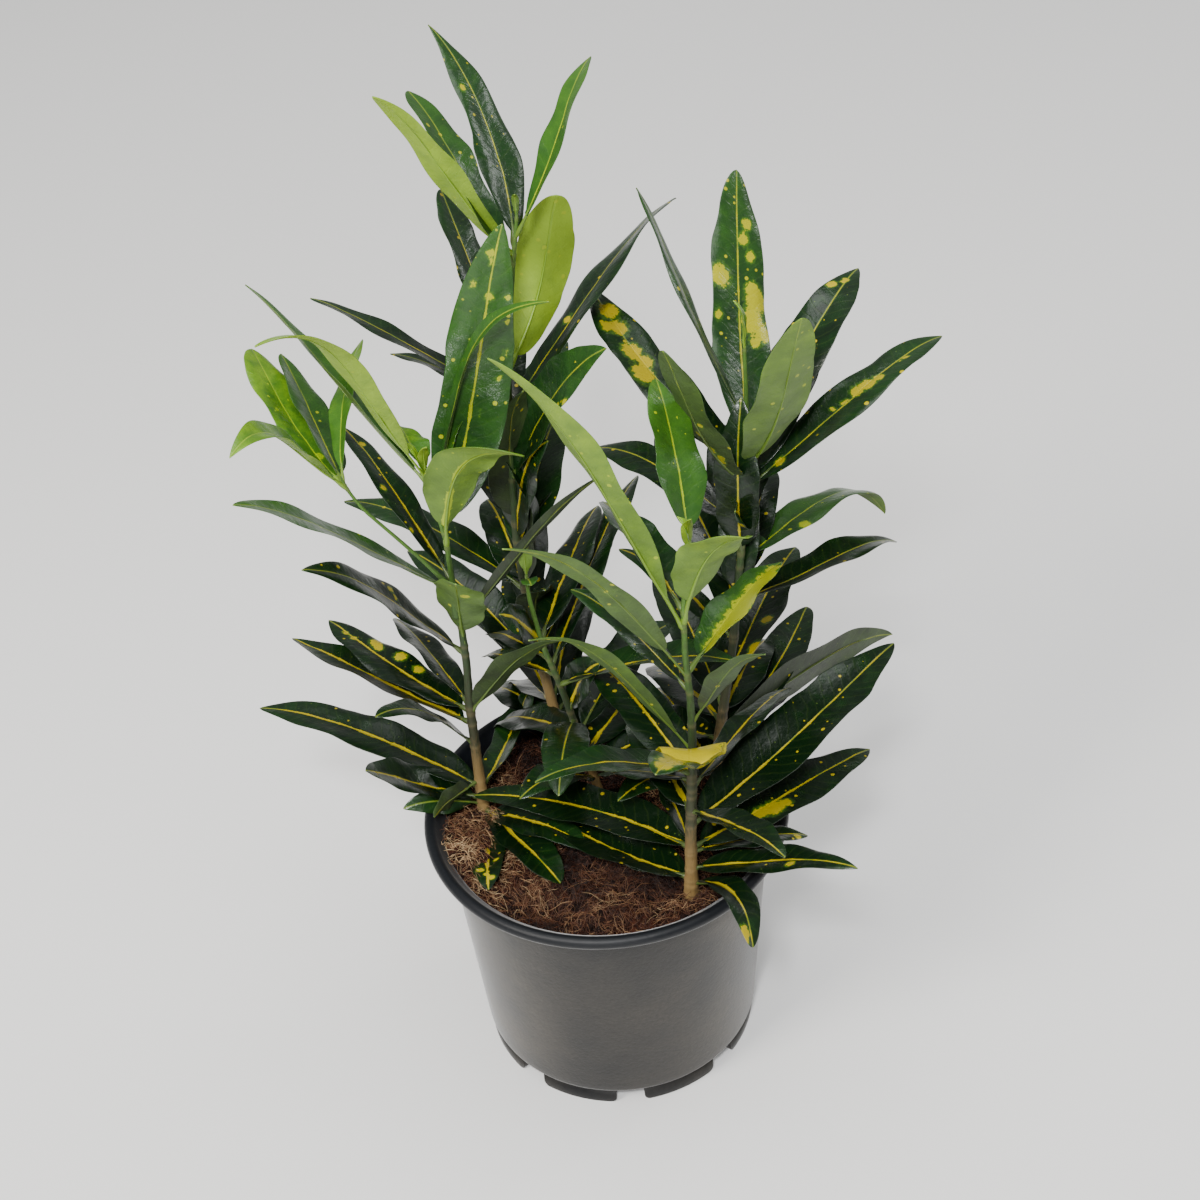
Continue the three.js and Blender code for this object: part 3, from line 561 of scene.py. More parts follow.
FRONT_RIGHT = (43473, [
    (27, -37, 90, 2.7), (28, -38, 127, 2.5), (29, -38, 146, 2.3), (30, -38, 168, 2), (30, -38, 186, 1.8),
    (29, -38, 203, 1.6), (29, -38, 219, 1.4), (30, -37, 234, 1.2), (32, -36, 246, 1),
], [
    (245, 96, 30, 58, 18, 2, 1, -32, 0, 2, 7, 0.85, 0.45, 0.4, 0.37, 0.3),
    (217, -37, 61, 50, 19, 5, -1, 36, 0, 2, 10, 0.8, 0.1, 0.27, 0.25, 0.2),
    (215, 169, 62, 112, 16.5, 3, 0, -52, 0, 4, 13, 0.45, 0.6, 0.26, 0.19, 0.2),
    (222, 115, 10, 53, 18, 3, 0, -29, 0, 1, 5, 0.8, 0.5, 0.8, 0.68, 0.3),
    (195, -162, 52, 90, 11, 5, 0, -57, 0, 4, 16, 0.9, 1, 0.58, 0.25, 0.3),
    (163, -164, 52, 82, 9, 3, 8, -47, 0, 4, 9, 0.6, 0.6, 0.58, 0.25, 0.3),
    (197, 46, 15, 51, 17, 2, 0, 21, 0, 2, 7, 0.7, 0.8, 0.55, 0.4, 0.4, (0.12, 0.42, 3.8), (0.24, 0.45, 5.2),
     (0.37, 0.47, 6), (0.5, 0.47, 6), (0.64, 0.45, 5.4), (0.77, 0.4, 4.2), (0.88, 0.25, 2.6)),
    (175, -18, 54, 42, 11, 2, 0, 52, 0, 3, 8, 0.6, 0.6, 0.78, 0.19, 0.2),
    (146, 51, -1, 60, 15, 3, 0, 29, 0, 2, 5, 0.6, 0.5, 0.95, 0.62, 0.4),
    (129, 38, 12, 100, 24, 1, 3, 3, 0, 2, 4, 0.9, 0.55, 1, 0.5, 0.5),
    (118, 33, -2, 80, 20, 3, 3, 2, 0, 2, 4, 0.85, 0.6, 1, 0.5, 0.7, (0.36, 0.3, 3.6), (0.3, 0.15, 2.6),
     (0.42, 0.35, 2.2)),
    (116, 12, -8, 42, 13, 2, 0, 12, 0, 1, 4, 0.8, 0.6, 1, 0.56, 0.4, (0.88, 0.55, 1.4)),
    (136, -54, 16, 48, 15, 2, 0, 16, 0, 2, 4, 0.7, 0.5, 1, 0.74, 0.4),
    (108, -28, 21, 64, 14, 1, -1, 4, 0, 2, 3, 0.8, 0.7, 1, 0.56, 0.3, (0.62, 0.4, 1.6)),
    (100, -59, -2, 35, 13, 8, -4, 17, 0, 2, 3, 0.8, 0.3, 1, 0.81, 0.3, (0.9, 0.75, 2)),
    (118, 103, 0, 40, 11, 2, 0, -31, 0, 1, 4, 0.73, 0.72, 1, 0.74, 0.4),
    (143, 107, -7, 50, 13, 2, 0, -34, 0, 2, 4, 0.65, 0.72, 0.9, 0.81, 0.4),
    (158, -112, 38, 44, 15, 2, 0, 7, 0, 1, 5, 0.8, 0.5, 0.8, 1.2, 0.6, (0.5, 0, 4.2), (0.66, -0.1, 4.4),
     (0.82, 0, 3.2), (0.35, 0.1, 3.4)),
    (150, 135, -29, 50, 13, 2, 0, -17, 0, 1, 4, 0.8, 0.8, 0.85, 0.19, 0.1),
    (118, 151, -5, 85, 19, 0, 6, 1, 0, 1, 3, 0.9, 0.5, 1, 0.62, 0.7),
    (103, 140, -3, 74, 17, 1, -4, -10, 0, 1, 3, 0.9, 0.4, 1, 0.74, 0.5),
    (103, 139, -4, 48, 17, 0, -1, -5, 0, 1, 3, 0.9, 0.4, 1, 0.74, 0.4),
    (153, -156, 23, 60, 16, 5, 0, -10, 0, 2, 5, 0.85, 0.59, 0.83, 0.43, 0.4),
    (189, 144, 30, 50, 13, 3, 0, -9, 0, 2, 5, 0.67, 0.48, 0.81, 0.25, 0.5),
    (152, 117, 2, 66, 18, *FILLER, 0.95, 0.6, 0.6),
    (134, 107, -6, 58, 17, *FILLER, 0.95, 0.8, 0.35),
    (150, -94, 53, 27, 23, 5, 0, 0, 0, 3, 4, 0.9, 0.1, 0.8, 1, 0.6, (0.2, 0, 7), (0.45, 0.45, 8), (0.45, -0.45, 8),
     (0.75, 0.4, 7), (0.75, -0.4, 7), (0.95, 0, 5)),
    (244, -70, 78, 15, 4, *BUD, 0.1, 0.1, 0),
    (246, 150, 70, 11, 3.5, *BUD, 0.05, 0.1, 0),
])
BACK_LEFT = (4061, [
    (-12, 34, 90, 2.4), (-20, 36, 150, 2.2), (-23, 36, 195, 2), (-22, 36, 236, 1.7), (-19, 38, 274, 1.4),
    (-14, 38, 310, 1.1), (-12, 38, 322, 0.9),
], [
    (311, 111, 39, 78, 17, -1, 6, -28, 0, 2, 5, 0.75, 0.95, 0.74, 0.2, 0.4, (0.67, -0.55, 1.3)),
    (314, 52, 42, 61, 12, 11, 9, 28, 0, 4, 7, 0.4, 0.8, 0.4, 0.25, 0.2),
    (266, 31, 67, 60, 20, -9, -6, 105, 0, 2, 5, 0.95, 0.1, 0, 0.12, 0.6, (0.3, 0.1, 1.1), (0.65, 0.1, 1)),
    (308, -165, 59, 72, 12, -1, 2, -45, 0, 3, 5, 0.9, 0.35, 0.08, 0.12, 0.5),
    (305, 128, 43, 63, 15, 11, -6, -25, 0, 2, 5, 0.8, 0.3, 0.6, 0.12, 0.4, (0.43, -0.55, 1.2)),
    (273, 112, 36, 60, 16, 4, -2, -32, 0, 1, 5, 0.7, 0.5, 0.85, 0.19, 0.6),
    (256, 156, 21, 73, 12, 5, -6, -19, 0, 2, 5, 0.5, 0.7, 0.95, 0.19, 0.3),
    (253, 156, 17, 43, 11, 2, 0, -20, 0, 1, 5, 0.5, 0.7, 0.95, 0.12, 0.2),
    (250, 49, 20, 100, 17, 13, 7, 16, 30, 3, 5, 0.5, 0.7, 0.85, 0.19, 0.3, (0.3, -0.25, 1.6)),
    (224, -17, 57, 66, 20, 3, 0, -36, 0, 2, 6, 0.85, 0.6, 0.7, 0.25, 0.5, (0.58, 0.6, 1.3), (0.65, 0.8, 1.3)),
    (198, -34, 70, 50, 17, 3, 0, -69, 0, 2, 4, 0.85, 0.7, 0.9, 0.74, 0.5, (0.43, -0.8, 1.7)),
    (194, 68, 11, 46, 14, 2, 0, 33, 0, 1, 4, 0.84, 0.56, 0.9, 0.99, 0.4),
    (236, 101, 4, 44, 15, 2, 0, -37, 0, 1, 4, 0.7, 0.66, 0.9, 0.31, 0.4),
    (176, 150, 14, 74, 17, 6, 0, -10, 0, 2, 5, 0.69, 0.5, 0.81, 0.19, 0.5),
    (160, 92, 12, 78, 18, 7, 0, 0, 0, 2, 4, 0.67, 0.45, 0.92, 0.37, 0.4),
    (138, 128, 8, 80, 18, 6, 0, 0, 0, 2, 4, 0.66, 0.75, 0.93, 0.31, 0.2),
    (122, 78, 6, 76, 18, 5, 0, 0, 0, 2, 4, 0.84, 0.62, 0.96, 0.56, 0.4),
    (242, 96, 28, 72, 17, 5, 2, -8, 0, 2, 4, 0.7, 0.52, 0.96, 0.5, 0.5),
    (206, 72, 21, 76, 18, 6, -3, 9, 0, 2, 5, 0.58, 0.5, 0.84, 0.5, 0.3),
    (110, 48, 2, 72, 18, 5, 0, 6, 0, 2, 5, 0.78, 0.7, 0.87, 0.56, 0.3),
    (122, 120, 4, 74, 17, 6, 3, -9, 0, 2, 4, 0.66, 0.68, 0.96, 0.74, 0.2),
    (146, 60, 9, 60, 15, 4, 0, 11, 0, 2, 5, 0.78, 0.64, 0.89, 0.31, 0.2),
    (190, 73, 21, 58, 20, *FILLER, 0.75, 0.5, 0.6),
    (205, 108, 12, 48, 17, *FILLER, 0.9, 0.6, 0.5),
    (176, 108, 20, 40, 16, *FILLER, 0.9, 0.6, 0.35),
    (110, 124, -14, 46, 17, *FILLER, 0.95, 0.6, 0.35),
    (118, 59, -16, 52, 18, *FILLER, 0.95, 0.5, 0.35),
    (205, -54, 78, 62, 17, *FILLER, 0.85, 0.4, 0.5),
    (178, 175, 87, 56, 16, *FILLER, 0.9, 0.4, 0.5),
    (150, -69, 67, 40, 15, *FILLER, 0.95, 0.3, 0.35),
    (150, 97, 1, 50, 16, *FILLER, 0.95, 0.5, 0.35),
    (321, -90, 80, 9, 2.4, *BUD, 0.4, 0.1, 0),
    (122, 107, -32, 50, 17, *FILLER, 0.95, 0.9, 0.35),
])
BACK_RIGHT = (52069, [
    (38, 6, 90, 2.4), (42, 6, 130, 2.3), (48, 8, 170, 2.1), (52, 12, 209, 1.8), (55, 16, 243, 1.4),
    (55, 18, 268, 1.1), (55, 19, 280, 0.9),
], [
    (247, 86, 33, 96, 22, -5, -1, -32, 0, 2, 2, 0.97, 0.35, 0.68, 0.37, 0.8, (0.59, -0.7, 3.8), (0.44, -0.8, 1.6),
     (0.8, 0.5, 1.9), (0.74, 0.25, 2), (0.68, 0.5, 1.8), (0.52, 0.65, 4.2), (0.44, 0.45, 4.4), (0.4, 0.8, 3),
     (0.56, 0.5, 2.6), (0.36, 0.5, 2)),
    (243, 47, 31, 71, 19, 13, 7, 4, 0, 2, 5, 0.7, 0.75, 0.95, 0.19, 0.8, (0.82, -0.65, 1.6), (0.87, -0.1, 1.3),
     (0.4, 0.35, 1.3)),
    (237, -66, 65, 82, 21, -6, 0, 0, 0, 2, 6, 0.85, 0.25, 0.4, 0.19, 0.4),
    (228, 32, 16, 87, 17, 10, 8, 6, 0, 3, 5, 0.75, 0.7, 0.8, 0.19, 0.5, (0.5, -0.1, 2.2), (0.55, 0.05, 2.4),
     (0.6, 0.15, 1.8), (0.73, 0.1, 1), (0.76, 0.2, 0.8), (0.43, -0.1, 1.2), (0.38, -0.2, 1), (0.1, 0.2, 1.8)),
    (252, 112, 33, 90, 12, 6, -4, -53, 0, 3, 5, 0.4, 0.9, 0.7, 0, 0.1),
    (237, 126, 23, 84, 19, 2, -6, -6, 0, 1, 5, 0.85, 0.5, 0.9, 0.19, 0.5, (0.85, 0.15, 3.45), (0.75, 0.05, 2.99),
     (0.77, -0.45, 2.3), (0.62, -0.15, 3.45), (0.5, -0.4, 3.795), (0.55, 0.1, 2.645)),
    (231, -138, 63, 76, 17, -5, 0, 0, 0, 2, 5, 0.85, 0.25, 0.72, 0.25, 0.3, (0.3, 0.1, 2.4), (0.24, -0.3, 1.5),
     (0.15, 0.4, 2.2), (0.4, 0.3, 1.2), (0.2, 0, 2.2), (0.5, -0.2, 1.2)),
    (207, -107, 68, 22, 9, 2, 0, -24, 120, 1, 5, 0.8, 0.4, 0.9, 1.6, 0.5, (0.3, 0, 3), (0.6, 0.1, 3)),
    (213, 146, 13, 60, 17, 10, -4, -3, 0, 3, 5, 0.6, 0.8, 0.95, 0.25, 0.4),
    (199, 38, -13, 72, 17, 7, -3, 0, 30, 8, 8, 0.5, 0.7, 0.5, 0.25, 0.5, (0.28, 0.8, 2)),
    (185, 31, -7, 70, 15, 4, 4, 10, 0, 4, 6, 0.5, 0.7, 0.95, 0.19, 0.4),
    (153, 63, 6, 68, 19, 3, 0, 5, 0, 2, 5, 0.85, 0.5, 0.9, 0.37, 0.8, (0.33, 0.6, 2.1), (0.13, 0.8, 2.4),
     (0.08, 0.8, 1.4)),
    (128, 57, 5, 70, 18, 0, 4, 7, 0, 2, 5, 0.85, 0.4, 0.95, 0.31, 0.5),
    (131, 37, -5, 86, 17, 4, 0, 86, 0, 3, 5, 0.6, 0.8, 0.95, 0.19, 0.1),
    (172, 88, 12, 76, 18, 6, 0, 0, 0, 2, 4, 0.84, 0.73, 0.98, 0.43, 0.2),
    (140, 105, 8, 70, 18, 5, 0, 0, 0, 2, 4, 0.71, 0.59, 0.93, 0.25, 0.5),
    (110, 84, 2, 74, 18, 6, 2, 0, 0, 2, 5, 0.6, 0.69, 0.84, 0.12, 0.3),
    (188, 108, 18, 72, 17, 5, -2, -10, 0, 2, 5, 0.83, 0.57, 0.87, 0.43, 0.5),
    (230, 60, 26, 74, 18, 6, 3, 7, 0, 2, 4, 0.76, 0.65, 0.94, 0.37, 0.2),
    (170, 144, 26, 50, 13, 3, 0, -12, 0, 2, 5, 0.77, 0.46, 0.83, 0.81, 0.3),
    (205, 91, 16, 54, 16, *FILLER, 0.95, 0.6, 0.5),
    (190, 70, 16, 52, 15, *FILLER, 0.95, 0.6, 0.35),
    (214, 74, 28, 50, 14, *FILLER, 0.95, 0.6, 0.5),
    (126, 134, -29, 62, 18, *FILLER, 0.95, 0.6, 0.6, (0.5, 0.3, 1.6), (0.6, 0.5, 1.2)),
    (112, -138, 22, 52, 17, *FILLER, 0.95, 0.8, 0.35),
    (108, 108, -5, 58, 18, *FILLER, 0.95, 0.6, 0.35),
    (120, 55, -8, 62, 18, *FILLER, 0.95, 0.6, 0.35),
    (136, 65, -6, 50, 16, *FILLER, 0.95, 0.6, 0.7),
    (204, 73, 83, 58, 15, *FILLER, 0.95, 0.3, 0.4),
    (186, 72, 62, 44, 14, *FILLER, 0.9, 0.3, 0.5),
    (279, 170, 80, 18, 4, *BUD, 0.15, 0.1, 0),
    (134, 113, -18, 60, 18, *FILLER, 0.95, 1, 0.35, (0.6, 0.3, 2), (0.7, -0.2, 2.2), (0.8, 0.2, 1.6)),
])
BACK_MIDDLE = (33784, [
    (0, 12, 90, 2), (-6, 12, 120, 1.9), (-12, 11, 152, 1.7), (-17, 13, 170, 1.5), (-20, 15, 190, 1.2),
    (-20, 15, 200, 0.9),
], [
    (172, 70, 6, 68, 17, 3, 0, 25, 0, 2, 4, 0.78, 0.6, 0.95, 0.68, 0.3),
    (161, 66, 12, 90, 15, 4, 0, 31, 0, 3, 4, 0.75, 0.55, 0.9, 0.56, 0.3),
    (170, -143, 55, 28, 14, 1, 0, 41, 0, 1, 4, 0.9, 0.5, 0.95, 1.18, 0.3),
    (164, 125, -19, 40, 13, 2, 0, -13, 0, 1, 4, 0.74, 0.65, 0.95, 0.81, 0.2),
    (157, 131, -20, 42, 13, 2, 0, -11, 0, 1, 4, 0.56, 0.46, 0.95, 0.81, 0.2),
    (140, -28, 63, 30, 14, 2, 0, -54, 0, 1, 4, 0.68, 0.63, 0.95, 0.81, 0.3),
    (128, 60, 4, 62, 17, 4, 0, 0, 0, 2, 4, 0.62, 0.64, 0.94, 0.19, 0.2),
    (112, 20, 2, 40, 15, 3, 0, 0, 0, 1, 4, 0.74, 0.41, 0.97, 0.5, 0.3),
    (135, -96, 19, 60, 16, 5, 0, 8, 0, 2, 5, 0.69, 0.48, 0.86, 0.19, 0.3),
    (153, -24, 23, 70, 17, 5, 2, 10, 0, 2, 5, 0.57, 0.45, 0.8, 0.68, 0.3),
    (118, 61, -13, 52, 17, *FILLER, 0.95, 0.7, 0.35),
    (106, -134, 27, 42, 16, *FILLER, 0.95, 0.4, 0.6),
    (128, 132, -28, 52, 17, *FILLER, 0.95, 0.6, 0.5),
    (199, -100, 80, 14, 5, *BUD, 0.3, 0.1, 0),
    (197, -79, 28, 9, 6, 1, 0, 0, 0, 0, 2, 0.7, 0.2, 0.6, 0.1, 0),
    (112, 104, -3, 40, 16, *FILLER, 0.95, 0.8, 0.35),
])
CUTTINGS = {
    "stem_front_left": [FRONT_LEFT, FRONT_LEFT_BRANCH],
    "stem_front_right": [FRONT_RIGHT],
    "stem_back_left": [BACK_LEFT],
    "stem_back_right": [BACK_RIGHT],
    "stem_back_middle": [BACK_MIDDLE],
}

LONGEST_STALK_SHARE = 0.24
FOLD, WAVE, WAVES_PER_LEAF, WAVE_STEP = 0.2, 0.05, 2.4, 2.4
BLADE_THICKNESS = 0.45
BUD_HEIGHT, BARK_LOWEST = 3, 94
ALONG_BLADE = np.concatenate([[0, 0.006], np.linspace(0.02, 0.98, 49), [0.993, 1]])
ACROSS_BLADE = np.concatenate([[-1, -0.975], np.linspace(-0.93, 0.93, 15), [0.975, 1]])


def leaf_line(leaf, root, t):
    """The middle line of each leaf and the two directions across it. line is the unit vector at bearing turn and
    climb rise, level lies flat to its right, upright = level x line, and
    P(t) = root + long t line + 4t(1 - t)(droop upright + sway level) + 9 hook t³(1 - t) upright,
    so the tip stays put and the blade hooks down to it. side is level and upright turned by tilt + twist t."""
    turn, rise = np.radians(leaf["turn"]), np.radians(leaf["rise"])
    line = np.stack([np.cos(rise) * np.cos(turn), np.cos(rise) * np.sin(turn), np.sin(rise)], -1)[:, None]
    level = np.stack([np.sin(turn), -np.cos(turn), 0 * turn], -1)[:, None]
    upright = np.cross(level, line)
    t = t[..., None]
    long, droop, sway, hook = (leaf[key][:, None, None] for key in ("long", "droop", "sway", "hook"))
    bow, slope = 4 * t * (1 - t), 4 * (1 - 2 * t)
    middle = root[:, None] + line * long * t + upright * (droop * bow + 9 * hook * t**3 * (1 - t)) + level * sway * bow
    along = line * long + upright * (droop * slope + 9 * hook * (3 * t**2 - 4 * t**3)) + level * sway * slope
    along /= np.linalg.norm(along, axis=-1, keepdims=True)
    roll = np.radians(leaf["tilt"][:, None, None] + leaf["twist"][:, None, None] * t)
    side = level * np.cos(roll) + upright * np.sin(roll)
    side = side - along * (side * along).sum(-1, keepdims=True)
    side /= np.linalg.norm(side, axis=-1, keepdims=True)
    return middle, side, np.cross(side, along)


def blades(leaf, root):
    """Closed thin skins. Half width is wide / 2 times s^p (1 - s)^q over its largest value, with p from full and q from
    point, made uneven by two sizes of cloud on each side of its own. A point at x from -1 to 1 across stands half x to
    the side. It is lifted by half fold |x|^1.3, folding up from the midrib, less towards the tip, by the long wave
    ± wide WAVE sin(2π 2.4 s + phase) 4s(1 - s) x|x|, and by a quilt of cloud at 6.5 mm, and lowered by
    half curl |x|^4, the rolled edge. The marks say where each point is on its leaf, in mm, how yellow it is there, and
    the leaf's age, side and share of its length."""
    s = ALONG_BLADE
    stalk = np.minimum(leaf["stalk"] / leaf["long"], LONGEST_STALK_SHARE)[:, None]
    count = len(leaf["long"])
    middle, side, up = leaf_line(leaf, root, stalk + (1 - stalk) * s)
    p, q = 0.95 - 0.5 * leaf["full"][:, None], 0.42 + 0.5 * leaf["point"][:, None]
    widest = (p / (p + q)) ** p * (q / (p + q)) ** q
    shape = s**p * (1 - s) ** q / widest
    wide = leaf["wide"][:, None]
    phase = leaf["phase"][:, None]
    number = np.arange(count)[:, None]
    x = ACROSS_BLADE
    edge = np.stack(np.broadcast_arrays((s * wide / 2.4)[..., None], number[..., None] * 9.1, np.sign(x) * 3.7), -1)
    swell = 1 + 0.09 * cloud(edge, 1.0, 31) + 0.025 * cloud(edge, 0.4, 33)
    half = np.maximum(wide / 2 * shape, np.where(s < 0.5, 0.9, 0.1))[..., None] * swell
    wave = wide * WAVE * np.sin(2 * np.pi * WAVES_PER_LEAF * s + phase) * 4 * s * (1 - s)
    fold = leaf["fold"][:, None, None] * (1.25 - 0.75 * s)[None, :, None]
    lift = half * fold * np.abs(x) ** 1.3 - wave[..., None] * x * np.abs(x)
    lift = lift - leaf["curl"][:, None, None] * half * np.abs(x) ** 4
    run = leaf["long"][:, None, None] * s[:, None]
    quilt = np.stack(np.broadcast_arrays(half * x, run, 50.0 * number[..., None]), -1)
    lift = lift + 0.22 * cloud(quilt, 6.5, 32) * (1 - x**2)
    thick = BLADE_THICKNESS * (1 - 0.75 * x**4) / 2
    sheet = middle[:, :, None] + side[:, :, None] * (half * x)[..., None]
    above = sheet + up[:, :, None] * (lift + thick)[..., None]
    below = sheet + up[:, :, None] * (lift - thick)[..., None]
    rings = np.concatenate([above, below[:, :, ::-1]], 2)
    across = np.concatenate([half * x, (half * x)[..., ::-1]], 2)
    along = np.broadcast_to((leaf["long"][:, None] * s)[..., None], across.shape)
    under = np.broadcast_to(np.repeat([0.0, 1.0], len(x)), across.shape)
    field = np.full(across.shape, -1.0)
    for i, spots in enumerate(leaf["blotches"]):
        for spot_s, spot_x, radius in spots:
            middle_x = spot_x * np.interp(spot_s, s, half[i, :, 0])
            away = np.hypot((s[:, None] - spot_s) * leaf["long"][i], (across[i] - middle_x) * 1.1) / radius
            field[i] = np.maximum(field[i], 1 - away)
    rib = leaf["rib"][:, None, None] * np.clip(1.2 - 0.9 * s, 0, 1)[:, None] * np.clip((1 - s) * 12, 0, 1)[:, None]
    marks = {
        "leaf_place": np.stack(np.broadcast_arrays(across, along, 13.7 * number[..., None]), -1),
        "leaf_yellow": np.stack(np.broadcast_arrays(field, rib, leaf["dust"][:, None, None]), -1),
        "leaf_kind": np.stack(np.broadcast_arrays(leaf["age"][:, None, None], under, s[:, None]), -1),
    }
    return loft(rings), {key: mark.reshape(-1, 3) for key, mark in marks.items()}


def stalks(leaf, root):
    """Leaf stalks that run on as the raised midrib under the blade: eight-sided tubes along the leaf's own middle
    line, swollen where they leave the stem and thinning to a tenth towards the tip."""
    stalk = np.minimum(leaf["stalk"] / leaf["long"], LONGEST_STALK_SHARE)[:, None]
    s = np.concatenate([np.linspace(0, 1, 9), np.linspace(1, 4.2, 22)[1:]])
    t = np.where(s < 1, s * stalk, stalk + (s - 1) / 3.6 * (1 - stalk))
    middle, side, up = leaf_line(leaf, root, t)
    on_blade = np.clip((s - 1) * 4, 0, 1)
    size = np.clip(leaf["wide"] / 17, 0.5, 1.0)[:, None]
    foot = 0.45 * np.exp(-((t * leaf["long"][:, None] - 2) / 2) ** 2)
    radius = size * (0.68 + foot) * (1 - 0.9 * np.clip((s - 1) / 3.2, 0, 1) ** 0.7)
    middle = middle - up * (on_blade * (BLADE_THICKNESS / 2 + 0.25 * radius))[..., None]
    around = np.radians(45.0 * np.arange(8))[:, None]
    spokes = side[:, :, None] * np.cos(around) + up[:, :, None] * np.sin(around)
    rings = middle[:, :, None] + radius[..., None, None] * spokes
    kinds = np.stack(np.broadcast_arrays(leaf["age"][:, None, None], t[..., None], 0 * rings[..., 0]), -1)
    return loft(rings), {"leaf_kind": kinds.reshape(-1, 3)}


def trunk(stem, scars):
    """A tube up the stem's rows, from 12 mm under the soil, eased by a running mean, swollen by 0.18 mm at each leaf
    scar, flared by 0.6 mm at the soil and closed to a point 3 mm past the tip. youth runs from 0 at the soil to 1 at
    the tip."""
    z = np.arange(stem[0, 2] - 12, stem[-1, 2] + BUD_HEIGHT, 0.75)
    x, y, radius = (np.interp(z, stem[:, 2], stem[:, k]) for k in (0, 1, 3))
    ease = np.hanning(19) / np.hanning(19).sum()
    x, y = (np.convolve(np.pad(v, 9, mode="edge"), ease, "valid") for v in (x, y))
    ring = np.exp(-(((z[:, None] - np.array(scars)[None]) / 0.8) ** 2)).max(1)
    youth = (z - BARK_LOWEST) / (stem[-1, 2] - BARK_LOWEST)
    flare = 0.6 * np.exp(-(z - stem[0, 2] - 3).clip(0) / 4)
    radius = radius * (1 - 0.4 * np.clip(youth, 0, 1) ** 0.4) + 0.18 * ring + flare
    radius = radius * np.clip((stem[-1, 2] + BUD_HEIGHT - z) / 5, 0.08, 1) ** 0.6
    turns = np.linspace(0, 2 * np.pi, 20, endpoint=False)
    skin = np.stack(np.broadcast_arrays(3 * np.cos(turns), 3 * np.sin(turns), z[:, None] / 3), -1)
    rough = 1 + 0.06 * cloud(skin, 1.2, 8)
    rings = np.stack([x[:, None] + radius[:, None] * rough * np.cos(turns),
                      y[:, None] + radius[:, None] * rough * np.sin(turns), z[:, None] + 0 * turns], -1)
    marks = np.stack(np.broadcast_arrays(youth[:, None], ring[:, None], turns[None]), -1)
    return loft(rings[None]), {"leaf_kind": marks.reshape(-1, 3)}


# A croton leaf, alive: a leathery blade with a waxed, glossy upper side from lime to blackish green, and a duller,
# paler underside. The yellow is where green is missing: along the midrib and out into some side veins, in
# blotches with ragged edges, and as fine specks. leaf_place is in mm, so a noise's scale counts its grains to the mm.
PLUS = ("Math", {"operation": "ADD"})
MINUS = ("Math", {"operation": "SUBTRACT"})
LARGER = ("Math", {"operation": "MAXIMUM"})
LESS_THAN = ("Math", {"operation": "LESS_THAN"})
PINGPONG = ("Math", {"operation": "PINGPONG"})
LEAF_KIND = ("Attribute", {"attribute_name": "leaf_kind"})

croton_leaf, tree, shader = start_material("glossy_croton_leaf")
place = add(tree, ("Attribute", {"attribute_name": "leaf_place"})).outputs["Vector"]
yellow = add(tree, "SeparateXYZ", add(tree, ("Attribute", {"attribute_name": "leaf_yellow"})).outputs["Vector"])
age, under, how_far = add(tree, "SeparateXYZ", add(tree, LEAF_KIND).outputs["Vector"]).outputs
where = add(tree, "SeparateXYZ", place)
across = add(tree, SIZE_OF, where)

# Side veins, in mm: how far apart they leave the midrib, at a slant of 0.75, and how they wander.
SIDE_VEIN_SPACING = 4.6
wander = add(tree, "TexNoise", place, Scale=0.12, Detail=2.0)
climb = add(tree, TIMES_PLUS, across, -0.75, where.outputs[1])
climb = add(tree, TIMES_PLUS, wander, 5.0, climb)
beat = add(tree, PINGPONG, climb, SIDE_VEIN_SPACING / 2)
side_vein = add(tree, EASED_RANGE, beat, From_Min=0.0, From_Max=0.6, To_Min=1.0, To_Max=0.0)
rib_line = add(tree, EASED_RANGE, across, From_Min=0.15, From_Max=0.5, To_Min=1.0, To_Max=0.0)

# The yellow: ragged blotches, the band along the midrib with its spill into side veins, and specks and pale pores.
ragged = add(tree, "TexNoise", place, Scale=0.75, Detail=3.0, Roughness=0.6)
frayed = add(tree, TIMES_PLUS, ragged, 1.3, -0.55)
blotch = add(tree, PLUS, yellow, frayed)
halo = add(tree, "MapRange", blotch, From_Min=-0.45, From_Max=0.05, To_Max=0.55)
blotch = add(tree, "MapRange", blotch, From_Min=0.0, From_Max=0.14)
streaks = add(tree, "TexNoise", add(tree, "Mapping", place, Scale=(1, 0.3, 1)), Scale=0.4, Detail=2.0)
stray = add(tree, "MapRange", streaks, From_Min=0.3, From_Max=0.62, To_Min=0.15, To_Max=1.25)
band = add(tree, TIMES, yellow.outputs[1], stray)
spill = add(tree, TIMES, side_vein, band)
spill = add(tree, TIMES, spill, ragged)
band = add(tree, TIMES_PLUS, spill, 0.7, band)
band = add(tree, MINUS, band, across)
band = add(tree, "MapRange", band, From_Min=-0.12, From_Max=0.12)
cells = add(tree, "TexVoronoi", place, Scale=0.27)
chance = add(tree, "SeparateXYZ", cells.outputs["Color"])
size = add(tree, TIMES, chance, 0.24)
gate = add(tree, LESS_THAN, chance.outputs[1], yellow.outputs[2])
size = add(tree, TIMES, size, gate)
speck = add(tree, MINUS, size, cells)
speck = add(tree, "MapRange", speck, From_Min=-0.01, From_Max=0.05)
gold = add(tree, LARGER, blotch, band)
gold = add(tree, LARGER, gold, speck)
pores = add(tree, "TexVoronoi", place, Scale=0.55)
pore_chance = add(tree, "SeparateXYZ", pores.outputs["Color"])
pore = add(tree, "MapRange", pores, From_Min=0.07, From_Max=0.15, To_Min=1.0, To_Max=0.0)
pore = add(tree, TIMES, pore, add(tree, LESS_THAN, pore_chance, 0.16))

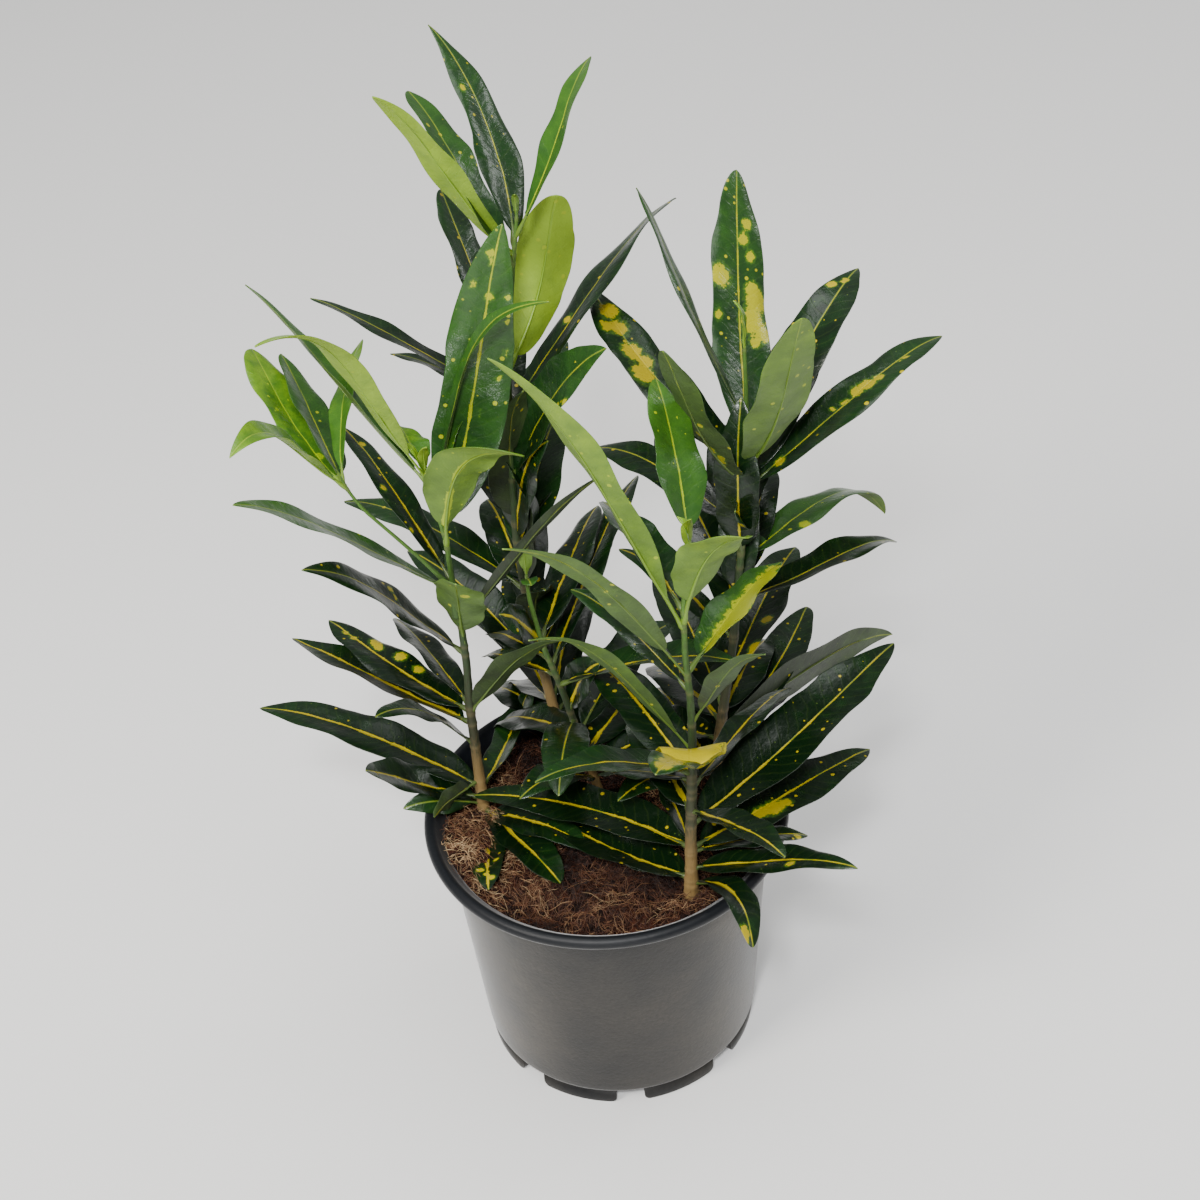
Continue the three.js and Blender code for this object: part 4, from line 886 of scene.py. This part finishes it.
# The green: darker with age and lighter towards the tip, paler underneath and along the veins, bright round blotches.
mottle = add(tree, "TexNoise", place, Scale=0.16, Detail=4.0, Roughness=0.6)
aged = add(tree, TIMES_PLUS, mottle, 0.5, -0.13)
aged = add(tree, PLUS, age, aged)
aged = add(tree, TIMES_PLUS, how_far, -0.24, aged)
greens = add(tree, "ValToRGB", aged,
             stops=((0.02, "#678c0f"), (0.25, "#386017"), (0.5, "#264a15"), (0.72, "#12300e"), (0.98, "#041605")))
pales = add(tree, "ValToRGB", aged, stops=((0.02, "#75911a"), (0.3, "#526e1d"), (0.6, "#3a501f"), (0.98, "#252d1e")))
green = add(tree, BLEND, under, in6=greens, in7=pales)
veined = add(tree, TIMES, side_vein, 0.035)
veined = add(tree, LARGER, veined, add(tree, TIMES, rib_line, 0.5))
veined = add(tree, LARGER, veined, add(tree, TIMES, pore, 0.45))
green = add(tree, BLEND, veined, in6=green, in7=linear("#66842c"))
green = add(tree, BLEND, halo, in6=green, in7=linear("#4d7417"))
ripe = add(tree, "MapRange", age, From_Min=0.3, From_Max=0.85)
rich = add(tree, BLEND, ripe, in6=linear("#84a006"), in7=linear("#a09002"))
faint = add(tree, TIMES, under, 0.35)
rich = add(tree, BLEND, faint, in6=rich, in7=linear("#8f8c28"))
colour = add(tree, BLEND, gold, in6=green, in7=rich)
rough = add(tree, "MapRange", under, To_Min=0.22, To_Max=0.5)
rough = add(tree, TIMES_PLUS, mottle, 0.14, rough)
leather = add(tree, "TexNoise", place, Scale=0.32, Detail=4.0, Roughness=0.55)
relief = add(tree, TIMES_PLUS, side_vein, -0.09, leather)
relief = add(tree, TIMES_PLUS, rib_line, -0.3, relief)
plug(shader, Base_Color=colour, Roughness=rough, IOR=1.45,
     Normal=add(tree, "Bump", Strength=0.6, Distance=0.00045, Height=relief))

# The leaf stalk and the midrib under the blade: juicy yellow green on new leaves, duller on old ones, satin.
leaf_stalk, tree, shader = start_material("croton_leaf_stalk")
stalk_age = add(tree, "SeparateXYZ", add(tree, LEAF_KIND).outputs["Vector"])
greens = add(tree, "ValToRGB", stalk_age, stops=((0.05, "#6b8a1e"), (0.5, "#4e6620"), (0.95, "#3c4a20")))
plug(shader, Base_Color=greens, Roughness=0.42)

# Croton bark: grey tan cork with fine lengthwise cracks low down, smooth and green near the tip, with a paler ring
# at each leaf scar. Its places are in metres.
bark, tree, shader = start_material("croton_bark")
place = add(tree, "TexCoord").outputs["Object"]
kind = add(tree, "SeparateXYZ", add(tree, LEAF_KIND).outputs["Vector"])
cracks = add(tree, "TexNoise", add(tree, "Mapping", place, Scale=(1, 1, 0.22)), Scale=1400.0, Detail=5.0, Roughness=0.7)
grown = add(tree, TIMES_PLUS, cracks, 0.25, kind)
barks = add(tree, "ValToRGB", grown,
            stops=((0.12, "#8a6f40"), (0.25, "#7c6438"), (0.38, "#2b2d16"), (0.65, "#1c3212"), (0.98, "#3f6418")))
dark = add(tree, "MapRange", cracks, From_Min=0.35, From_Max=0.6, To_Min=0.35, To_Max=0.0)
colour = add(tree, BLEND, dark, in6=barks, in7=linear("#2a2014"))
colour = add(tree, BLEND, add(tree, TIMES, kind.outputs[1], 0.2), in6=colour, in7=linear("#7d6c48"))
plug(shader, Base_Color=colour, Roughness=0.7,
     Normal=add(tree, "Bump", Strength=0.6, Distance=0.0004, Height=cracks))

LEAF_FIELDS = "at turn rise long wide droop sway tilt twist hook stalk full point age rib dust".split()
for cutting, shoots in CUTTINGS.items():
    leaf_skins, wood_skins = [], []
    for seed, stem, rows in shoots:
        count = len(rows)
        chance = np.random.default_rng(seed).uniform(size=(count, 2))
        leaf = {key: np.array([row[k] for row in rows], float) for k, key in enumerate(LEAF_FIELDS)}
        leaf["blotches"] = [row[len(LEAF_FIELDS) :] for row in rows]
        leaf["phase"] = WAVE_STEP * np.arange(count)
        leaf["curl"] = -0.04 + 0.2 * chance[:, 0]
        leaf["fold"] = FOLD - 0.08 + 0.28 * chance[:, 1]
        points = np.array(stem, float)
        root = np.stack([np.interp(leaf["at"], points[:, 2], points[:, k]) for k in range(3)], -1)
        skin, marks = blades(leaf, root)
        leaf_skins.append((skin, 0, marks))
        skin, marks = stalks(leaf, root)
        leaf_skins.append((skin, 1, marks))
        skin, marks = trunk(points, leaf["at"])
        wood_skins.append((skin, 0, marks))
    make(cutting + "_leaves", leaf_skins, [croton_leaf, leaf_stalk], cutting)
    make(cutting + "_wood", wood_skins, [bark], cutting)
